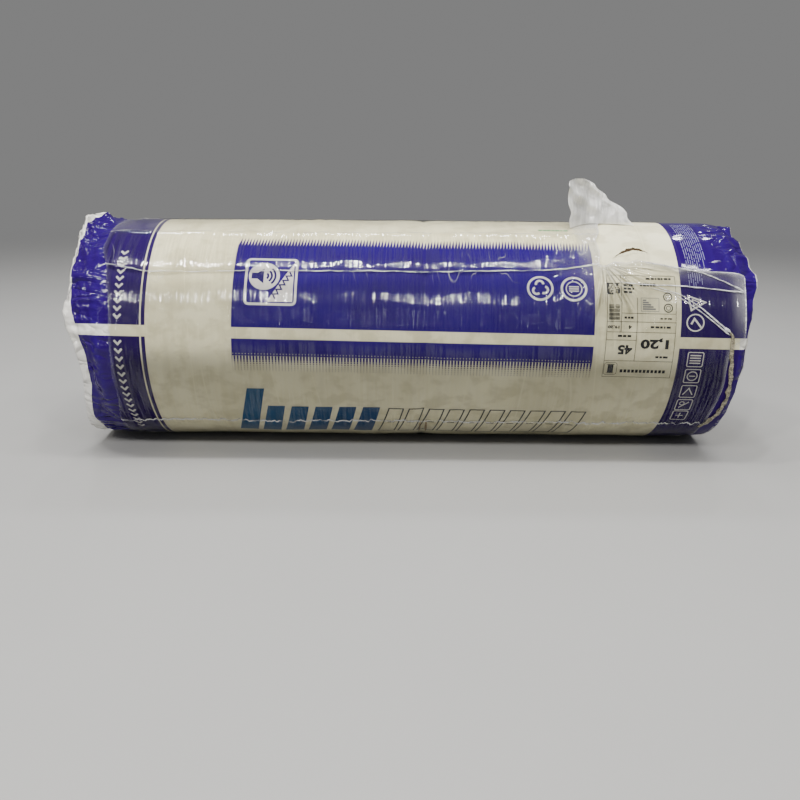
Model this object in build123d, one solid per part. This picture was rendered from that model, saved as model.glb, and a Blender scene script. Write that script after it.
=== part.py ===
from build123d import *

import math
import os

# A pack of glass wool: two wound mats lying face to face in one printed film
# sleeve, with a clear stretch film drawn over it. Millimetres.
# +X runs along the axis of the roll, -Y is the side that faces a viewer, +Z is
# up. The origin is under the middle of the whole pack, on the floor.

# Wound mats
mat_width = 600.0
wool_radius = 232.0
eye_radius = 15.0
packed_mat_thickness = 10.4
turn_crown = 2.6
shoulder_drop = 9.0
face_gap = 0.3

# Printed sleeve: wall, how far it stands past the wool, how far its rims draw in
film_gap = 0.4
sleeve_wall = 1.0
collar_left = 95.0
collar_right = 36.0
rim_draw_in_left = 9.0
rim_draw_in_right = 13.0
shoulder_blend = 40.0

# Clear stretch film
wrap_wall = 0.8
wrap_past_wool_left = 8.0
wrap_past_wool_right = 12.0

# Torn opening in the clear film: distance from the film's right end, and degrees
# round the roll from its top, positive towards the viewer
tear_edge = [
    (235.0, 0.0),
    (276.0, 46.0),
    (193.0, 43.5),
    (70.0, 49.0),
    (31.0, 58.5),
    (0.0, 70.0),
]
tear_back_edge = [(0.0, -34.0), (190.0, -34.0), (225.0, -20.0)]
tear_overrun = 20.0

# Flap of the clear film that stands up beside the opening: distances from the
# film's right end, then depths in front of the roll's top or heights over it
flap_plan = [(306.0, 62.0), (268.0, 30.0), (225.0, 34.0), (162.0, 52.0)]
flap_peak = (290.0, 83.0)
flap_ridge = (250.0, 72.0)
flap_saddle = (212.0, 40.0)
flap_tip_height = 14.0
flap_clearance = 5.0
flap_root_depth = 24.0

# Derived sizes
sleeve_inner = wool_radius + film_gap
sleeve_outer = sleeve_inner + sleeve_wall
wrap_inner = sleeve_outer + film_gap
wrap_outer = wrap_inner + wrap_wall
axis_height = wrap_outer
wool_length = 2 * mat_width + face_gap
middle_x = (collar_left - collar_right) / 2
wool_left = middle_x - wool_length / 2
wool_right = middle_x + wool_length / 2
wrap_left = wool_left - wrap_past_wool_left
wrap_right = wool_right + wrap_past_wool_right
crown_height = axis_height + wrap_outer


def turned(profile):
    """Turn a closed outline, drawn as distance along X and radius, about the axis."""
    face = make_face(Plane.XZ * profile)
    return Pos(0, 0, axis_height) * revolve(face, Axis.X)


def wound_end(x, outward):
    """The rounded turns on one end, from the eye out to the outer turn's shoulder."""
    turns = round((wool_radius - eye_radius) / packed_mat_thickness)
    pitch = (wool_radius - eye_radius) / turns
    valley = x - outward * turn_crown
    arcs = []
    for turn in range(turns - 1):
        low = eye_radius + turn * pitch
        arcs.append(ThreePointArc((valley, low), (x, low + pitch / 2), (valley, low + pitch)))
    shoulder = (valley - outward * shoulder_drop, wool_radius)
    last_valley = (valley, wool_radius - pitch)
    arcs.append(TangentArc(shoulder, last_valley, tangent=(outward, 0)))
    return arcs, shoulder


def wool_roll(left):
    """One wound mat as a turned solid with its eye and the turns on both ends."""
    near_end, near_shoulder = wound_end(left, -1)
    far_end, far_shoulder = wound_end(left + mat_width, 1)
    eye = Line(near_end[0] @ 0, far_end[0] @ 0)
    skin = Line(near_shoulder, far_shoulder)
    return turned(Curve() + near_end + far_end + [eye, skin])


def film_outline(radius, past_left, past_right):
    """One face of a film that lies along the wool and draws in past its ends."""
    slope_left = rim_draw_in_left / collar_left
    slope_right = rim_draw_in_right / collar_right
    points = [
        (wool_left - past_left, radius - slope_left * past_left),
        (wool_left, radius),
        (wool_right, radius),
        (wool_right + past_right, radius - slope_right * past_right),
    ]
    return FilletPolyline(*points, radius=shoulder_blend)


def film_tube(inner_radius, outer_radius, past_left, past_right):
    """A film wound round the wool, as one turned tube that is open at both ends."""
    inner = film_outline(inner_radius, past_left, past_right)
    outer = film_outline(outer_radius, past_left, past_right)
    rims = [Line(inner @ 0, outer @ 0), Line(inner @ 1, outer @ 1)]
    return turned(Curve() + [inner, outer] + rims)


def film_sleeve():
    """The printed film with its two open collars."""
    return film_tube(sleeve_inner, sleeve_outer, collar_left, collar_right)


def plan_point(from_right_end, degrees):
    """A place on the clear film, seen from above."""
    return (wrap_right - from_right_end, -wrap_outer * math.sin(math.radians(degrees)))


def torn_opening():
    """The space over the top of the roll where the clear film is torn away."""
    front = [plan_point(*place) for place in tear_edge]
    back = [plan_point(*place) for place in tear_back_edge]
    past_end = [
        (wrap_right + tear_overrun, front[-1][1]),
        (wrap_right + tear_overrun, back[0][1]),
    ]
    sketch = make_face(Polyline(*front, *past_end, *back, close=True))
    return Pos(0, 0, axis_height) * extrude(sketch, wrap_outer + tear_overrun)


def standing_flap():
    """A torn flap: a curved sheet, cut to its outline and trimmed to the roll."""
    near = [(wrap_right - along, -depth) for along, depth in flap_plan]
    far = [(x, y + wrap_wall) for x, y in near]
    near_line = Spline(*near)
    far_line = Spline(*far)
    sheet_ends = [Line(near_line @ 0, far_line @ 0), Line(near_line @ 1, far_line @ 1)]
    strip = make_face(Curve() + [near_line, far_line] + sheet_ends)
    sheet = Pos(0, 0, axis_height) * extrude(strip, 2 * wrap_outer)

    rising = [flap_peak, flap_ridge, flap_saddle, (flap_plan[-1][0], flap_tip_height)]
    top = [(wrap_right - along, crown_height + height) for along, height in rising]
    root_left = wrap_right - flap_plan[0][0]
    tip = top[-1][0]
    hem_start = wrap_right - tear_edge[0][0]
    outline = Polyline(
        (root_left, crown_height - flap_root_depth),
        (root_left, crown_height),
        *top,
        (tip, crown_height + flap_clearance),
        (hem_start, crown_height + flap_clearance),
        (hem_start - flap_root_depth, crown_height - flap_root_depth),
        close=True,
    )
    cutter = extrude(make_face(Plane.XZ * outline), wrap_outer, both=True)
    root_radius = wrap_outer - wrap_wall / 2
    core = Pos(middle_x, 0, axis_height) * Cylinder(root_radius, wool_length, rotation=(0, 90, 0))
    return (sheet & cutter) - core


def clear_wrap():
    """The clear stretch film, torn open at the upper right, with its flap."""
    ends = (wrap_past_wool_left, wrap_past_wool_right)
    tube = film_tube(wrap_inner, wrap_outer, *ends)
    return tube - torn_opening() + standing_flap()


def main():
    nodes = {
        "wool_roll_left": wool_roll(wool_left),
        "wool_roll_right": wool_roll(wool_left + mat_width + face_gap),
        "film_sleeve": film_sleeve(),
        "clear_wrap": clear_wrap(),
    }
    os.makedirs("parts", exist_ok=True)
    for name, shape in nodes.items():
        export_step(shape, f"parts/{name}.step")


main()
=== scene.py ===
import math

import bmesh
import bpy
import numpy as np
from bpy.props import FloatProperty, FloatVectorProperty, IntProperty, PointerProperty
from mathutils import Matrix, Vector


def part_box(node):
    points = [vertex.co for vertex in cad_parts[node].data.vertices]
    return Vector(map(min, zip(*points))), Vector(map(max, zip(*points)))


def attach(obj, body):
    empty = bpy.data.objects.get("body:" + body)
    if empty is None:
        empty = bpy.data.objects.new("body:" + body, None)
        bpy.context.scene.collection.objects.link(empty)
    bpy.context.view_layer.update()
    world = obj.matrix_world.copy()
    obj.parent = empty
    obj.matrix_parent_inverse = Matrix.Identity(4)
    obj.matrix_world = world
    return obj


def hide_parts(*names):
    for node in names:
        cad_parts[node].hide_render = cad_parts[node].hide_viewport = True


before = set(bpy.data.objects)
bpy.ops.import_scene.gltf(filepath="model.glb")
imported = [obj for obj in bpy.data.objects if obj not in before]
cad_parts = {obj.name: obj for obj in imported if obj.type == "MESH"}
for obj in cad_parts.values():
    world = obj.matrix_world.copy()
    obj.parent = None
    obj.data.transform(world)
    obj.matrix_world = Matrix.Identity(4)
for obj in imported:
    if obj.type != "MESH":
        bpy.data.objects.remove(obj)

bl_info = {
    "name": "Insulation roll",
    "version": (1, 0, 0),
    "blender": (4, 5, 0),
    "location": "View3D > Sidebar > Roll",
    "description": "Dresses a packed pair of glass wool rolls in printed and clear film",
    "category": "Object",
}

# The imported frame's sizes, in metres, and how far inside the solids' outer faces
# the two films are drawn
FILM_INSET, WRAP_INSET = 0.0004, 0.0002
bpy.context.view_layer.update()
WOOL_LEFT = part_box("wool_roll_left")[0][0]
WOOL_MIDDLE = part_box("wool_roll_left")[1][0]
WOOL_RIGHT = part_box("wool_roll_right")[1][0]
WOOL_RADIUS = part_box("wool_roll_left")[1][1]
AXIS_Z = (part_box("wool_roll_left")[0][2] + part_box("wool_roll_left")[1][2]) / 2
FILM_LEFT, FILM_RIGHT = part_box("film_sleeve")[0][0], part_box("film_sleeve")[1][0]
FILM_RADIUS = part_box("film_sleeve")[1][1] - FILM_INSET
WRAP_LEFT, WRAP_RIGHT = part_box("clear_wrap")[0][0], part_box("clear_wrap")[1][0]
WRAP_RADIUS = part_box("clear_wrap")[1][1] - WRAP_INSET
TURN = 2 * math.pi

# Where the sheets start and end round the roll, in radians from its top towards
# the viewer, and how far the printed film laps over itself
LAP_START = math.radians(-118.0)
LAP = math.radians(21.0)
LAP_STEP = 0.0007

# The print is measured round a circle of this radius, and slopes down towards
# the right by this much for each metre of length
PRINT_RADIUS = 0.234
PRINT_SKEW = 0.0151
METRES_PER_DEGREE = math.radians(PRINT_RADIUS)

# Places on the printed film: metres along X, and metres round from the top
# along the skewed print. Separate shapes of the print are cut into strips of
# PRINT_CUTS, so that they bend, and lie a little above the film. INK_EDGE is how
# soft the ink's edges are.
PANEL_LEFT, PANEL_RIGHT = -0.344, 0.353
PANEL_TOP, PANEL_FOOT = 0.1190, 0.3245
STRIP_TOP, STRIP_FOOT = 0.3465, 0.3805
REPEAT_START = -0.105
PRINT_MIDDLE = 0.33
PRINT_LIFT, OVERPRINT_LIFT = 0.00042, 0.00052
PRINT_CUTS = (0.0075, 0.0055)
INK_EDGE = 0.0004
COMB_HEIGHT = 0.0270
COMB_PITCH = 0.0061
COMB_LEAN = 0.35
# The fringe's rows of dots: half a dot's width and height in the first row, and
# what each further row loses
FRINGE_ROWS = 7
FRINGE_PITCH = 0.0044
DOT_WIDTH, DOT_WIDTH_LOSS = 0.0020, 0.00022
DOT_HEIGHT, DOT_HEIGHT_LOSS, DOT_LEAST_HEIGHT = 0.0026, 0.00050, 0.0007
PINHOLES_TOP, PINHOLES_FOOT = STRIP_FOOT - 0.0052, STRIP_FOOT - 0.0038
# The bands at both ends and the line beside the left one
BAND_LEFT, BAND_LEFT_OUTER = -0.5195, -0.6455
BAND_RIGHT, BAND_RIGHT_OUTER = 0.5180, 0.6640
LINE_LEFT, LINE_RIGHT = -0.5165, -0.5090
# Where along X the teal of the blocks blends from one end's colour to the other's
BLEND_SPAN = (-0.30, -0.08)


# Seeded waves that shape the films

def ripples(seed, count, along, around):
    """A smooth random wave: along in cycles a metre, around in whole cycles a turn."""
    draw = np.random.default_rng(seed)
    lengthwise = draw.uniform(along[0], along[1], count) * draw.choice([-1, 1], count)
    roundwise = draw.integers(around[0], around[1] + 1, count)
    phases = draw.uniform(0, TURN, count)

    def wave(x, angle):
        total = 0.0
        for k in range(count):
            total = total + np.cos(TURN * lengthwise[k] * x + roundwise[k] * angle + phases[k])
        return total / math.sqrt(count / 2)

    return wave


def creases(seed, count, along, around, octaves=3):
    """Sharp-ridged waves, from 0 in the valleys to about 1 on the ridges."""
    layers = []
    for octave in range(octaves):
        scale = 2 ** octave
        layers.append(
            ripples(
                seed + octave,
                count,
                (along[0] * scale, along[1] * scale),
                (around[0] * scale, around[1] * scale),
            )
        )

    def ridge(x, angle):
        total, weight = 0.0, 0.0
        for octave, layer in enumerate(layers):
            share = 0.55 ** octave
            total = total + share * np.abs(layer(x, angle))
            weight += share
        return 1 - np.clip(total / weight, 0, 1.6)

    return ridge


def bump(value, centre, width):
    """A smooth hump of height 1 at its centre."""
    return np.exp(-(((value - centre) / width) ** 2))


def ease(value, start, end):
    """A smooth step from 0 at the start to 1 at the end."""
    share = np.clip((value - start) / (end - start), 0, 1)
    return share * share * (3 - 2 * share)


def turned_angle(angle):
    """The same direction, between minus and plus half a turn."""
    return (angle + math.pi) % TURN - math.pi


DENTS = ripples(11, 10, (1.0, 5.0), (1, 6))
HOOPS = ripples(23, 12, (10.0, 24.0), (1, 4))
HOOP_PATCHES = ripples(31, 8, (2.0, 7.0), (1, 5))
COLLAR_CREASES = creases(47, 7, (4.0, 12.0), (5, 13))
COLLAR_FOLDS = ripples(59, 5, (2.0, 7.0), (2, 5))
RIM_WAVES = ripples(67, 6, (0.0, 0.5), (2, 9))
CRUMPLE = creases(71, 8, (9.0, 20.0), (12, 30), 2)


# How the rims wander, by degrees round from the top: metres further out along X
# for the print's edge and for the rim itself, and metres of radius
BLUE_EDGE_SHIFT = (
    (-180, 0.004), (-110, 0.002), (-40, 0.006), (-12, -0.002), (0, 0.0), (6, 0.014),
    (12, 0.018), (25, 0.016), (42, 0.012), (60, 0.011), (75, 0.004), (82, -0.003), (92, -0.010),
    (110, -0.012), (134, 0.0), (150, 0.002), (180, 0.004),
)
LEFT_RIM_SHIFT = (
    (-180, 0.008), (-120, 0.002), (-60, 0.0), (-20, 0.010), (0, 0.013), (8, 0.009), (25, 0.006),
    (42, -0.005), (56, -0.009), (64, -0.003), (71, 0.005), (77, 0.001), (87, -0.010),
    (106, -0.016), (127, -0.007), (149, 0.014), (160, 0.004), (180, 0.008),
)
LEFT_RIM_RISE = (
    (-180, -0.004), (-130, -0.010), (-60, 0.006), (-25, 0.004), (-8, 0.021), (6, 0.022),
    (16, 0.013), (30, 0.003), (45, -0.003), (60, 0.0), (72, 0.004), (90, -0.004), (118, -0.012),
    (140, -0.002), (158, 0.006), (180, -0.004),
)
RIGHT_RIM_SHIFT = (
    (-180, -0.024), (-90, -0.012), (-20, -0.004), (8, 0.004), (17, 0.0), (26, 0.004),
    (33, 0.002), (44, 0.0), (48, 0.007), (55, 0.004), (63, -0.003), (73, -0.006), (82, -0.012),
    (92, -0.013), (114, -0.017), (127, -0.025), (143, -0.031), (180, -0.024),
)
RIGHT_RIM_RISE = (
    (-180, -0.006), (-70, 0.003), (-10, 0.002), (9, 0.009), (20, 0.0), (40, 0.002), (50, 0.004),
    (70, 0.0), (110, -0.003), (135, -0.008), (180, -0.006),
)


def profile(at, line):
    """The value at each place, read off a line of (place, value)."""
    return np.interp(at, *zip(*line))


# Hollows round the printed film, at the crease between the mats and just past
# their ends: X, depth and half width, and how far the film is drawn in on the wool
FILM_HOLLOWS = (
    (WOOL_MIDDLE, 0.0020, 0.0060), (WOOL_MIDDLE, 0.0016, 0.016),
    (WOOL_LEFT - 0.010, 0.0022, 0.016), (WOOL_RIGHT + 0.008, 0.0020, 0.012),
)
FILM_DRAWN_IN = 0.0012


def collar_share(x):
    """How far out on a collar a place is: 0 on the wool, 1 at the rim, by side."""
    left = np.clip((WOOL_LEFT - x) / (WOOL_LEFT - FILM_LEFT), 0, 1.3)
    right = np.clip((x - WOOL_RIGHT) / (FILM_RIGHT - WOOL_RIGHT), 0, 1.3)
    return left, right


def film_surface(x, angle):
    """Where the printed film lies: its X and its radius, for a flat place on it."""
    degrees = np.degrees(turned_angle(angle))
    left, right = collar_share(x)
    on_wool = 1 - np.clip(left * 6, 0, 1) - np.clip(right * 4, 0, 1)

    radius = FILM_RADIUS + np.zeros_like(x)
    for place, depth, width in FILM_HOLLOWS:
        radius -= depth * bump(x, place, width)
    hoops = np.abs(HOOPS(x, angle)) * np.clip(HOOP_PATCHES(x, angle), 0, 2)
    radius += on_wool * (0.0007 * DENTS(x, angle) + 0.00035 * (hoops - 0.6) - FILM_DRAWN_IN)

    # The left collar: a crumpled upper part, long folds below, and a wavy rim
    upper = ease(degrees, -80, -40) * (1 - ease(degrees, 70, 105))
    lower = 1 - upper
    bare = ease(left, 0.28, 0.62)
    radius -= 0.010 * left ** 1.4
    crumple = COLLAR_CREASES(x, angle) - 0.45
    fine = CRUMPLE(x, angle) - 0.45
    radius += crumple * bare * (0.0095 * upper + 0.0036 * lower)
    radius += fine * bare * (0.0020 * upper + 0.0006 * lower)
    radius += 0.0035 * COLLAR_FOLDS(x * 2.4, angle) * ease(left, 0.1, 0.8) * lower
    radius += ease(left, 0.35, 1.0) * profile(degrees, LEFT_RIM_RISE)
    print_edge = (WOOL_LEFT - BAND_LEFT_OUTER) / (WOOL_LEFT - FILM_LEFT)
    past_print = ease(left, print_edge, 1.0)
    reach = ease(left, 0.25, print_edge) * (
        (1 - past_print) * profile(degrees, BLUE_EDGE_SHIFT)
        + past_print * profile(degrees, LEFT_RIM_SHIFT)
        + 0.0016 * RIM_WAVES(0.0, angle)
    )

    # The right collar: short, rounded in, with one small ear near the top
    radius -= 0.013 * right ** 1.6
    radius += crumple * ease(right, 0.2, 0.8) * 0.0060
    radius += fine * ease(right, 0.2, 0.8) * 0.0016
    radius += ease(right, 0.4, 1.0) * profile(degrees, RIGHT_RIM_RISE)
    reach_right = ease(right, 0.3, 1.0) * (
        profile(degrees, RIGHT_RIM_SHIFT) + 0.0016 * RIM_WAVES(3.0, angle)
    )

    # The lap: the outer end of the sheet lies on the first of it
    lapped = ease(angle, LAP_START + TURN - math.radians(4.0), LAP_START + TURN)
    radius += LAP_STEP * lapped
    radius += 0.0004 * bump(angle, LAP_START + TURN + LAP, math.radians(0.7))
    return x - reach + reach_right, radius


def place_on_axis(x, radius, angle):
    """Points in space for places given along and round the roll."""
    return np.stack(
        [x, -radius * np.sin(angle), AXIS_Z + radius * np.cos(angle)], axis=1
    )


# The clear film: where it ends, where it is torn, and how far it stands off

LEFT_EDGE = (
    (-180, 0.012), (-90, 0.006), (-20, 0.004), (0, 0.004), (12, 0.018), (24, 0.028),
    (38, 0.026), (46, 0.014), (61, 0.004), (80, 0.0), (94, -0.003), (110, 0.001), (134, 0.015),
    (180, 0.012),
)
RIGHT_EDGE = (
    (-180, -0.022), (-40, -0.006), (0, 0.0), (50, 0.003), (82, 0.0), (86, -0.026),
    (100, -0.028), (115, -0.026), (128, -0.036), (180, -0.022),
)
# The torn opening's edge: X, and degrees round from the top; and the place where
# the tear starts, from which wrinkles fan out
TEAR = (
    (0.700, 50.5), (0.643, 51.1), (0.600, 49.0), (0.575, 49.3), (0.546, 47.4), (0.519, 48.3),
    (0.486, 44.6), (0.457, 43.6), (0.441, 42.6), (0.420, 44.6), (0.396, 44.0), (0.381, 46.2),
    (0.366, 46.5), (0.372, 38.0), (0.368, 30.0), (0.381, 22.0), (0.386, 12.0), (0.402, 6.0),
    (0.404, -6.0), (0.417, -20.0), (0.433, -27.0), (0.452, -34.0), (0.520, -32.5),
    (0.585, -36.0), (0.700, -34.0),
)
TEAR_START = (0.366, 48.0)
FAN_CENTRE = (0.372, 0.178, 0.0)
# The edge of the film's last turn, along the roll: X, and degrees round
FOLD = (
    (-0.60, 47.0), (-0.506, 51.2), (-0.215, 50.2), (0.027, 50.2), (0.288, 48.7), (0.367, 45.0),
    (0.446, 41.9), (0.544, 47.5), (0.70, 51.0),
)
# Degrees round of the loose pocket's upper edge and of the jagged seam, and the
# metres from the line over the pocket down to the seam
POCKET_TOP = 23.0
SEAM_ANGLE = 133.0
POCKET_ABOVE_SEAM = (SEAM_ANGLE - POCKET_TOP) * METRES_PER_DEGREE - 0.007


def fold_angle(x):
    """Degrees round from the top at which the last turn of the clear film ends."""
    return profile(x, FOLD)


def wrap_zones(x, degrees):
    """How much each zone counts: the top, the loose pocket, and the tight front."""
    fold = fold_angle(x)
    below_top = ease(degrees, POCKET_TOP - 3.0, POCKET_TOP + 2.0)
    below_fold = ease(degrees, fold - 0.8, fold + 0.6)
    pocket = below_top * (1 - below_fold)
    return 1 - below_top, pocket, below_fold


WRAP_RIBS = ripples(101, 12, (28.0, 70.0), (0, 2))
POCKET_WAVES = ripples(107, 9, (4.0, 16.0), (1, 5))
WRAP_SLACK = ripples(113, 9, (1.5, 7.0), (2, 9))
EDGE_WAVES = ripples(127, 8, (0.0, 0.4), (3, 16))


def wrap_surface(x, angle):
    """Where the clear film lies, for a flat place on it."""
    degrees = np.degrees(turned_angle(angle))
    under_x, under = film_surface(x, angle)
    under += LAP_STEP * (1 - ease(angle, LAP_START + LAP, LAP_START + LAP + math.radians(4.0)))
    left, right = collar_share(x)
    taut = FILM_RADIUS - FILM_DRAWN_IN - 0.006 * left ** 1.2 - 0.010 * right ** 1.5
    under = np.maximum(under, taut)
    top, pocket, _ = wrap_zones(x, degrees)
    lift = 0.0011 + 0.0004 * np.clip(WRAP_SLACK(x, angle), -1, 2)
    lift += pocket * (0.0016 + 0.0006 * POCKET_WAVES(x, angle))
    lift += top * ease(degrees, -60, 0) * 0.0005
    shoulder = np.maximum(bump(x, WOOL_LEFT - 0.006, 0.026), 0.7 * bump(x, WOOL_RIGHT + 0.008, 0.02))
    lift += shoulder * (0.0020 + 0.0022 * pocket)
    near_end = bump(x, WRAP_LEFT, 0.10) + bump(x, WRAP_RIGHT, 0.07) + 0.25
    lift += 0.00045 * np.clip(WRAP_RIBS(x, angle), -1.2, 2) * (0.3 + pocket) * np.clip(near_end, 0, 1)
    start = np.hypot((x - TEAR_START[0]) / 0.05, (degrees - TEAR_START[1]) / 14.0)
    lift += 0.0022 * np.exp(-start ** 2)
    return under_x, under + np.clip(lift, 0.0006, None)


def tear_distance(x, around):
    """Metres to the torn opening, less than 0 inside it, and the nearest place on it."""
    corners = np.array([(px, math.radians(deg) * PRINT_RADIUS) for px, deg in TEAR])
    best = np.full(len(x), 9.0)
    nearest = np.zeros((len(x), 2))
    inside = np.zeros(len(x), dtype=bool)
    places = np.stack([x, around], axis=1)
    for k, corner in enumerate(corners):
        start, end = corners[k - 1], corner
        side = end - start
        share = np.clip(((places - start) @ side) / (side @ side), 0, 1)
        foot = start + share[:, None] * side
        gap = np.hypot(*(places - foot).T)
        closer = gap < best
        best[closer] = gap[closer]
        nearest[closer] = foot[closer]
        crosses = (start[1] > around) != (end[1] > around)
        safe = end[1] - start[1] if end[1] != start[1] else 1.0
        at = start[0] + (around - start[1]) / safe * side[0]
        inside ^= crosses & (x < at)
    return np.where(inside, -best, best), nearest


def write_mask(mesh, name, values):
    """Keep one value for each vertex, for the materials to read."""
    layer = mesh.attributes.new(name, "FLOAT", "POINT")
    layer.data.foreach_set("value", np.ascontiguousarray(values, dtype=np.float32))


# Meshes from flat sheets

def warped_stations(values, zones):
    """Spread even steps so that each zone gets its share: (end share, end place)."""
    shares = [0.0] + [zone[0] for zone in zones[1:]]
    places = [zone[1] for zone in zones]
    return np.interp(values, shares, places)


def flat_sheet(columns, rows):
    """An even flat grid that spans 0 to 1 both ways, as a bmesh with its UV map."""
    sheet = bmesh.new()
    sheet.loops.layers.uv.new("film")
    bmesh.ops.create_grid(sheet, x_segments=columns, y_segments=rows, size=0.5)
    bmesh.ops.translate(sheet, verts=sheet.verts, vec=(0.5, 0.5, 0.0))
    return sheet


def finished(name, shape, material, smooth=True):
    """Turn a bmesh into a piece of the scene and free it."""
    mesh = bpy.data.meshes.new(name)
    shape.to_mesh(mesh)
    shape.free()
    if smooth:
        mesh.shade_smooth()
    piece = bpy.data.objects.new(name, mesh)
    bpy.context.scene.collection.objects.link(piece)
    mesh.materials.append(material)
    return piece


def vertex_places(mesh):
    """The places of all vertices, one row each."""
    places = np.empty(len(mesh.vertices) * 3)
    mesh.vertices.foreach_get("co", places)
    return places.reshape(-1, 3)


def flat_places(mesh):
    """How far along and how far round each vertex of a flat sheet lies."""
    places = vertex_places(mesh)
    return places[:, 0].copy(), places[:, 1].copy()


def move_vertices(mesh, points):
    """Put each vertex at its point."""
    mesh.vertices.foreach_set("co", np.ascontiguousarray(points).ravel())
    mesh.update()


def map_sheet(mesh, along, around):
    """Write the sheet's own flat places, in metres, into its UV map."""
    corners = np.empty(len(mesh.loops), dtype=np.int64)
    mesh.loops.foreach_get("vertex_index", corners)
    layer = mesh.uv_layers["film"]
    both = np.stack([along[corners], around[corners]], axis=1)
    layer.data.foreach_set("uv", both.ravel())


# Shader node groups

class Nodes:
    """A short way to place and link shader nodes in one tree."""

    def __init__(self, tree):
        self.tree = tree

    def add(self, kind, **settings):
        """Place a node with its settings."""
        node = self.tree.nodes.new(kind)
        for key, value in settings.items():
            setattr(node, key, value)
        return node

    def feed(self, socket, value):
        """Link a socket to an input, or set the input's own value."""
        if isinstance(value, bpy.types.NodeSocket):
            self.tree.links.new(value, socket)
        elif value is not None:
            socket.default_value = value

    def math(self, operation, first, second=None, third=None, clamp=False):
        """One sum on up to three values."""
        node = self.add("ShaderNodeMath", operation=operation, use_clamp=clamp)
        for socket, value in zip(node.inputs, (first, second, third)):
            self.feed(socket, value)
        return node.outputs[0]

    def mix(self, share, first, second):
        """A colour between two others."""
        node = self.add("ShaderNodeMix", data_type="RGBA", blend_type="MIX")
        self.feed(node.inputs[0], share)
        self.feed(node.inputs[6], first)
        self.feed(node.inputs[7], second)
        return node.outputs[2]

    def away(self, value, centre):
        """How far a value lies from a centre, either way."""
        return self.math("ABSOLUTE", self.math("SUBTRACT", value, centre))

    def band(self, value, low, high, soft):
        """1 between low and high, with soft edges."""
        rise = self.add("ShaderNodeMapRange", interpolation_type="LINEAR")
        fall = self.add("ShaderNodeMapRange", interpolation_type="LINEAR")
        for node, start, end in ((rise, low - soft, low + soft), (fall, high + soft, high - soft)):
            self.feed(node.inputs[0], value)
            node.inputs[1].default_value = start
            node.inputs[2].default_value = end
        return self.math("MULTIPLY", rise.outputs[0], fall.outputs[0])

    def noise(self, vector, scale, detail=2.0, roughness=0.5, distortion=0.0):
        """Smooth noise, about 0.5 on average."""
        node = self.add("ShaderNodeTexNoise")
        self.feed(node.inputs["Vector"], vector)
        node.inputs["Scale"].default_value = scale
        node.inputs["Detail"].default_value = detail
        node.inputs["Roughness"].default_value = roughness
        node.inputs["Distortion"].default_value = distortion
        return node.outputs[0]

    def stretched(self, vector, scale):
        """A place scaled along each axis."""
        node = self.add("ShaderNodeMapping")
        self.feed(node.inputs[0], vector)
        node.inputs["Scale"].default_value = scale
        return node.outputs[0]

    def curve(self, value, low, high, to_low=0.0, to_high=1.0):
        """A smooth step from to_low at low to to_high at high."""
        node = self.add("ShaderNodeMapRange", interpolation_type="SMOOTHSTEP")
        self.feed(node.inputs[0], value)
        node.inputs[1].default_value = low
        node.inputs[2].default_value = high
        node.inputs[3].default_value = to_low
        node.inputs[4].default_value = to_high
        return node.outputs[0]


def new_group(name, inputs, outputs):
    """A shader group with named sockets: (name, kind, default) and (name, kind)."""
    tree = bpy.data.node_groups.new(name, "ShaderNodeTree")
    for label, kind, default in inputs:
        socket = tree.interface.new_socket(name=label, in_out="INPUT", socket_type=kind)
        if default is not None:
            socket.default_value = default
    for label, kind in outputs:
        tree.interface.new_socket(name=label, in_out="OUTPUT", socket_type=kind)
    nodes = Nodes(tree)
    return nodes, nodes.add("NodeGroupInput"), nodes.add("NodeGroupOutput")


def hoop_wrinkle_group():
    """Fine wrinkles that run round the roll, as a height in metres."""
    nodes, given, result = new_group(
        "hoop_wrinkles",
        [
            ("Place", "NodeSocketVector", None),
            ("Ribs", "NodeSocketFloat", 0.0012),
            ("Ribs per Metre", "NodeSocketFloat", 60.0),
            ("Fine", "NodeSocketFloat", 0.0002),
            ("Dents", "NodeSocketFloat", 0.002),
        ],
        [("Height", "NodeSocketFloat")],
    )
    place = given.outputs["Place"]
    rib_scale = nodes.add("ShaderNodeCombineXYZ")
    nodes.feed(rib_scale.inputs[0], given.outputs["Ribs per Metre"])
    rib_scale.inputs[1].default_value = 7.0
    scaled = nodes.add("ShaderNodeVectorMath", operation="MULTIPLY")
    nodes.feed(scaled.inputs[0], place)
    nodes.feed(scaled.inputs[1], rib_scale.outputs[0])
    ribs = nodes.noise(scaled.outputs[0], 1.0, 1.0, 0.5, 0.15)
    fine = nodes.noise(nodes.stretched(place, (150.0, 12.0, 1.0)), 1.0, 0.0, 0.6, 0.0)
    dents = nodes.noise(nodes.stretched(place, (9.0, 14.0, 1.0)), 1.0, 1.0, 0.5, 0.0)
    height = nodes.math("MULTIPLY", ribs, given.outputs["Ribs"])
    height = nodes.math("MULTIPLY_ADD", fine, given.outputs["Fine"], height)
    height = nodes.math("MULTIPLY_ADD", dents, given.outputs["Dents"], height)
    nodes.feed(result.inputs["Height"], height)
    return nodes.tree


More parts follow.
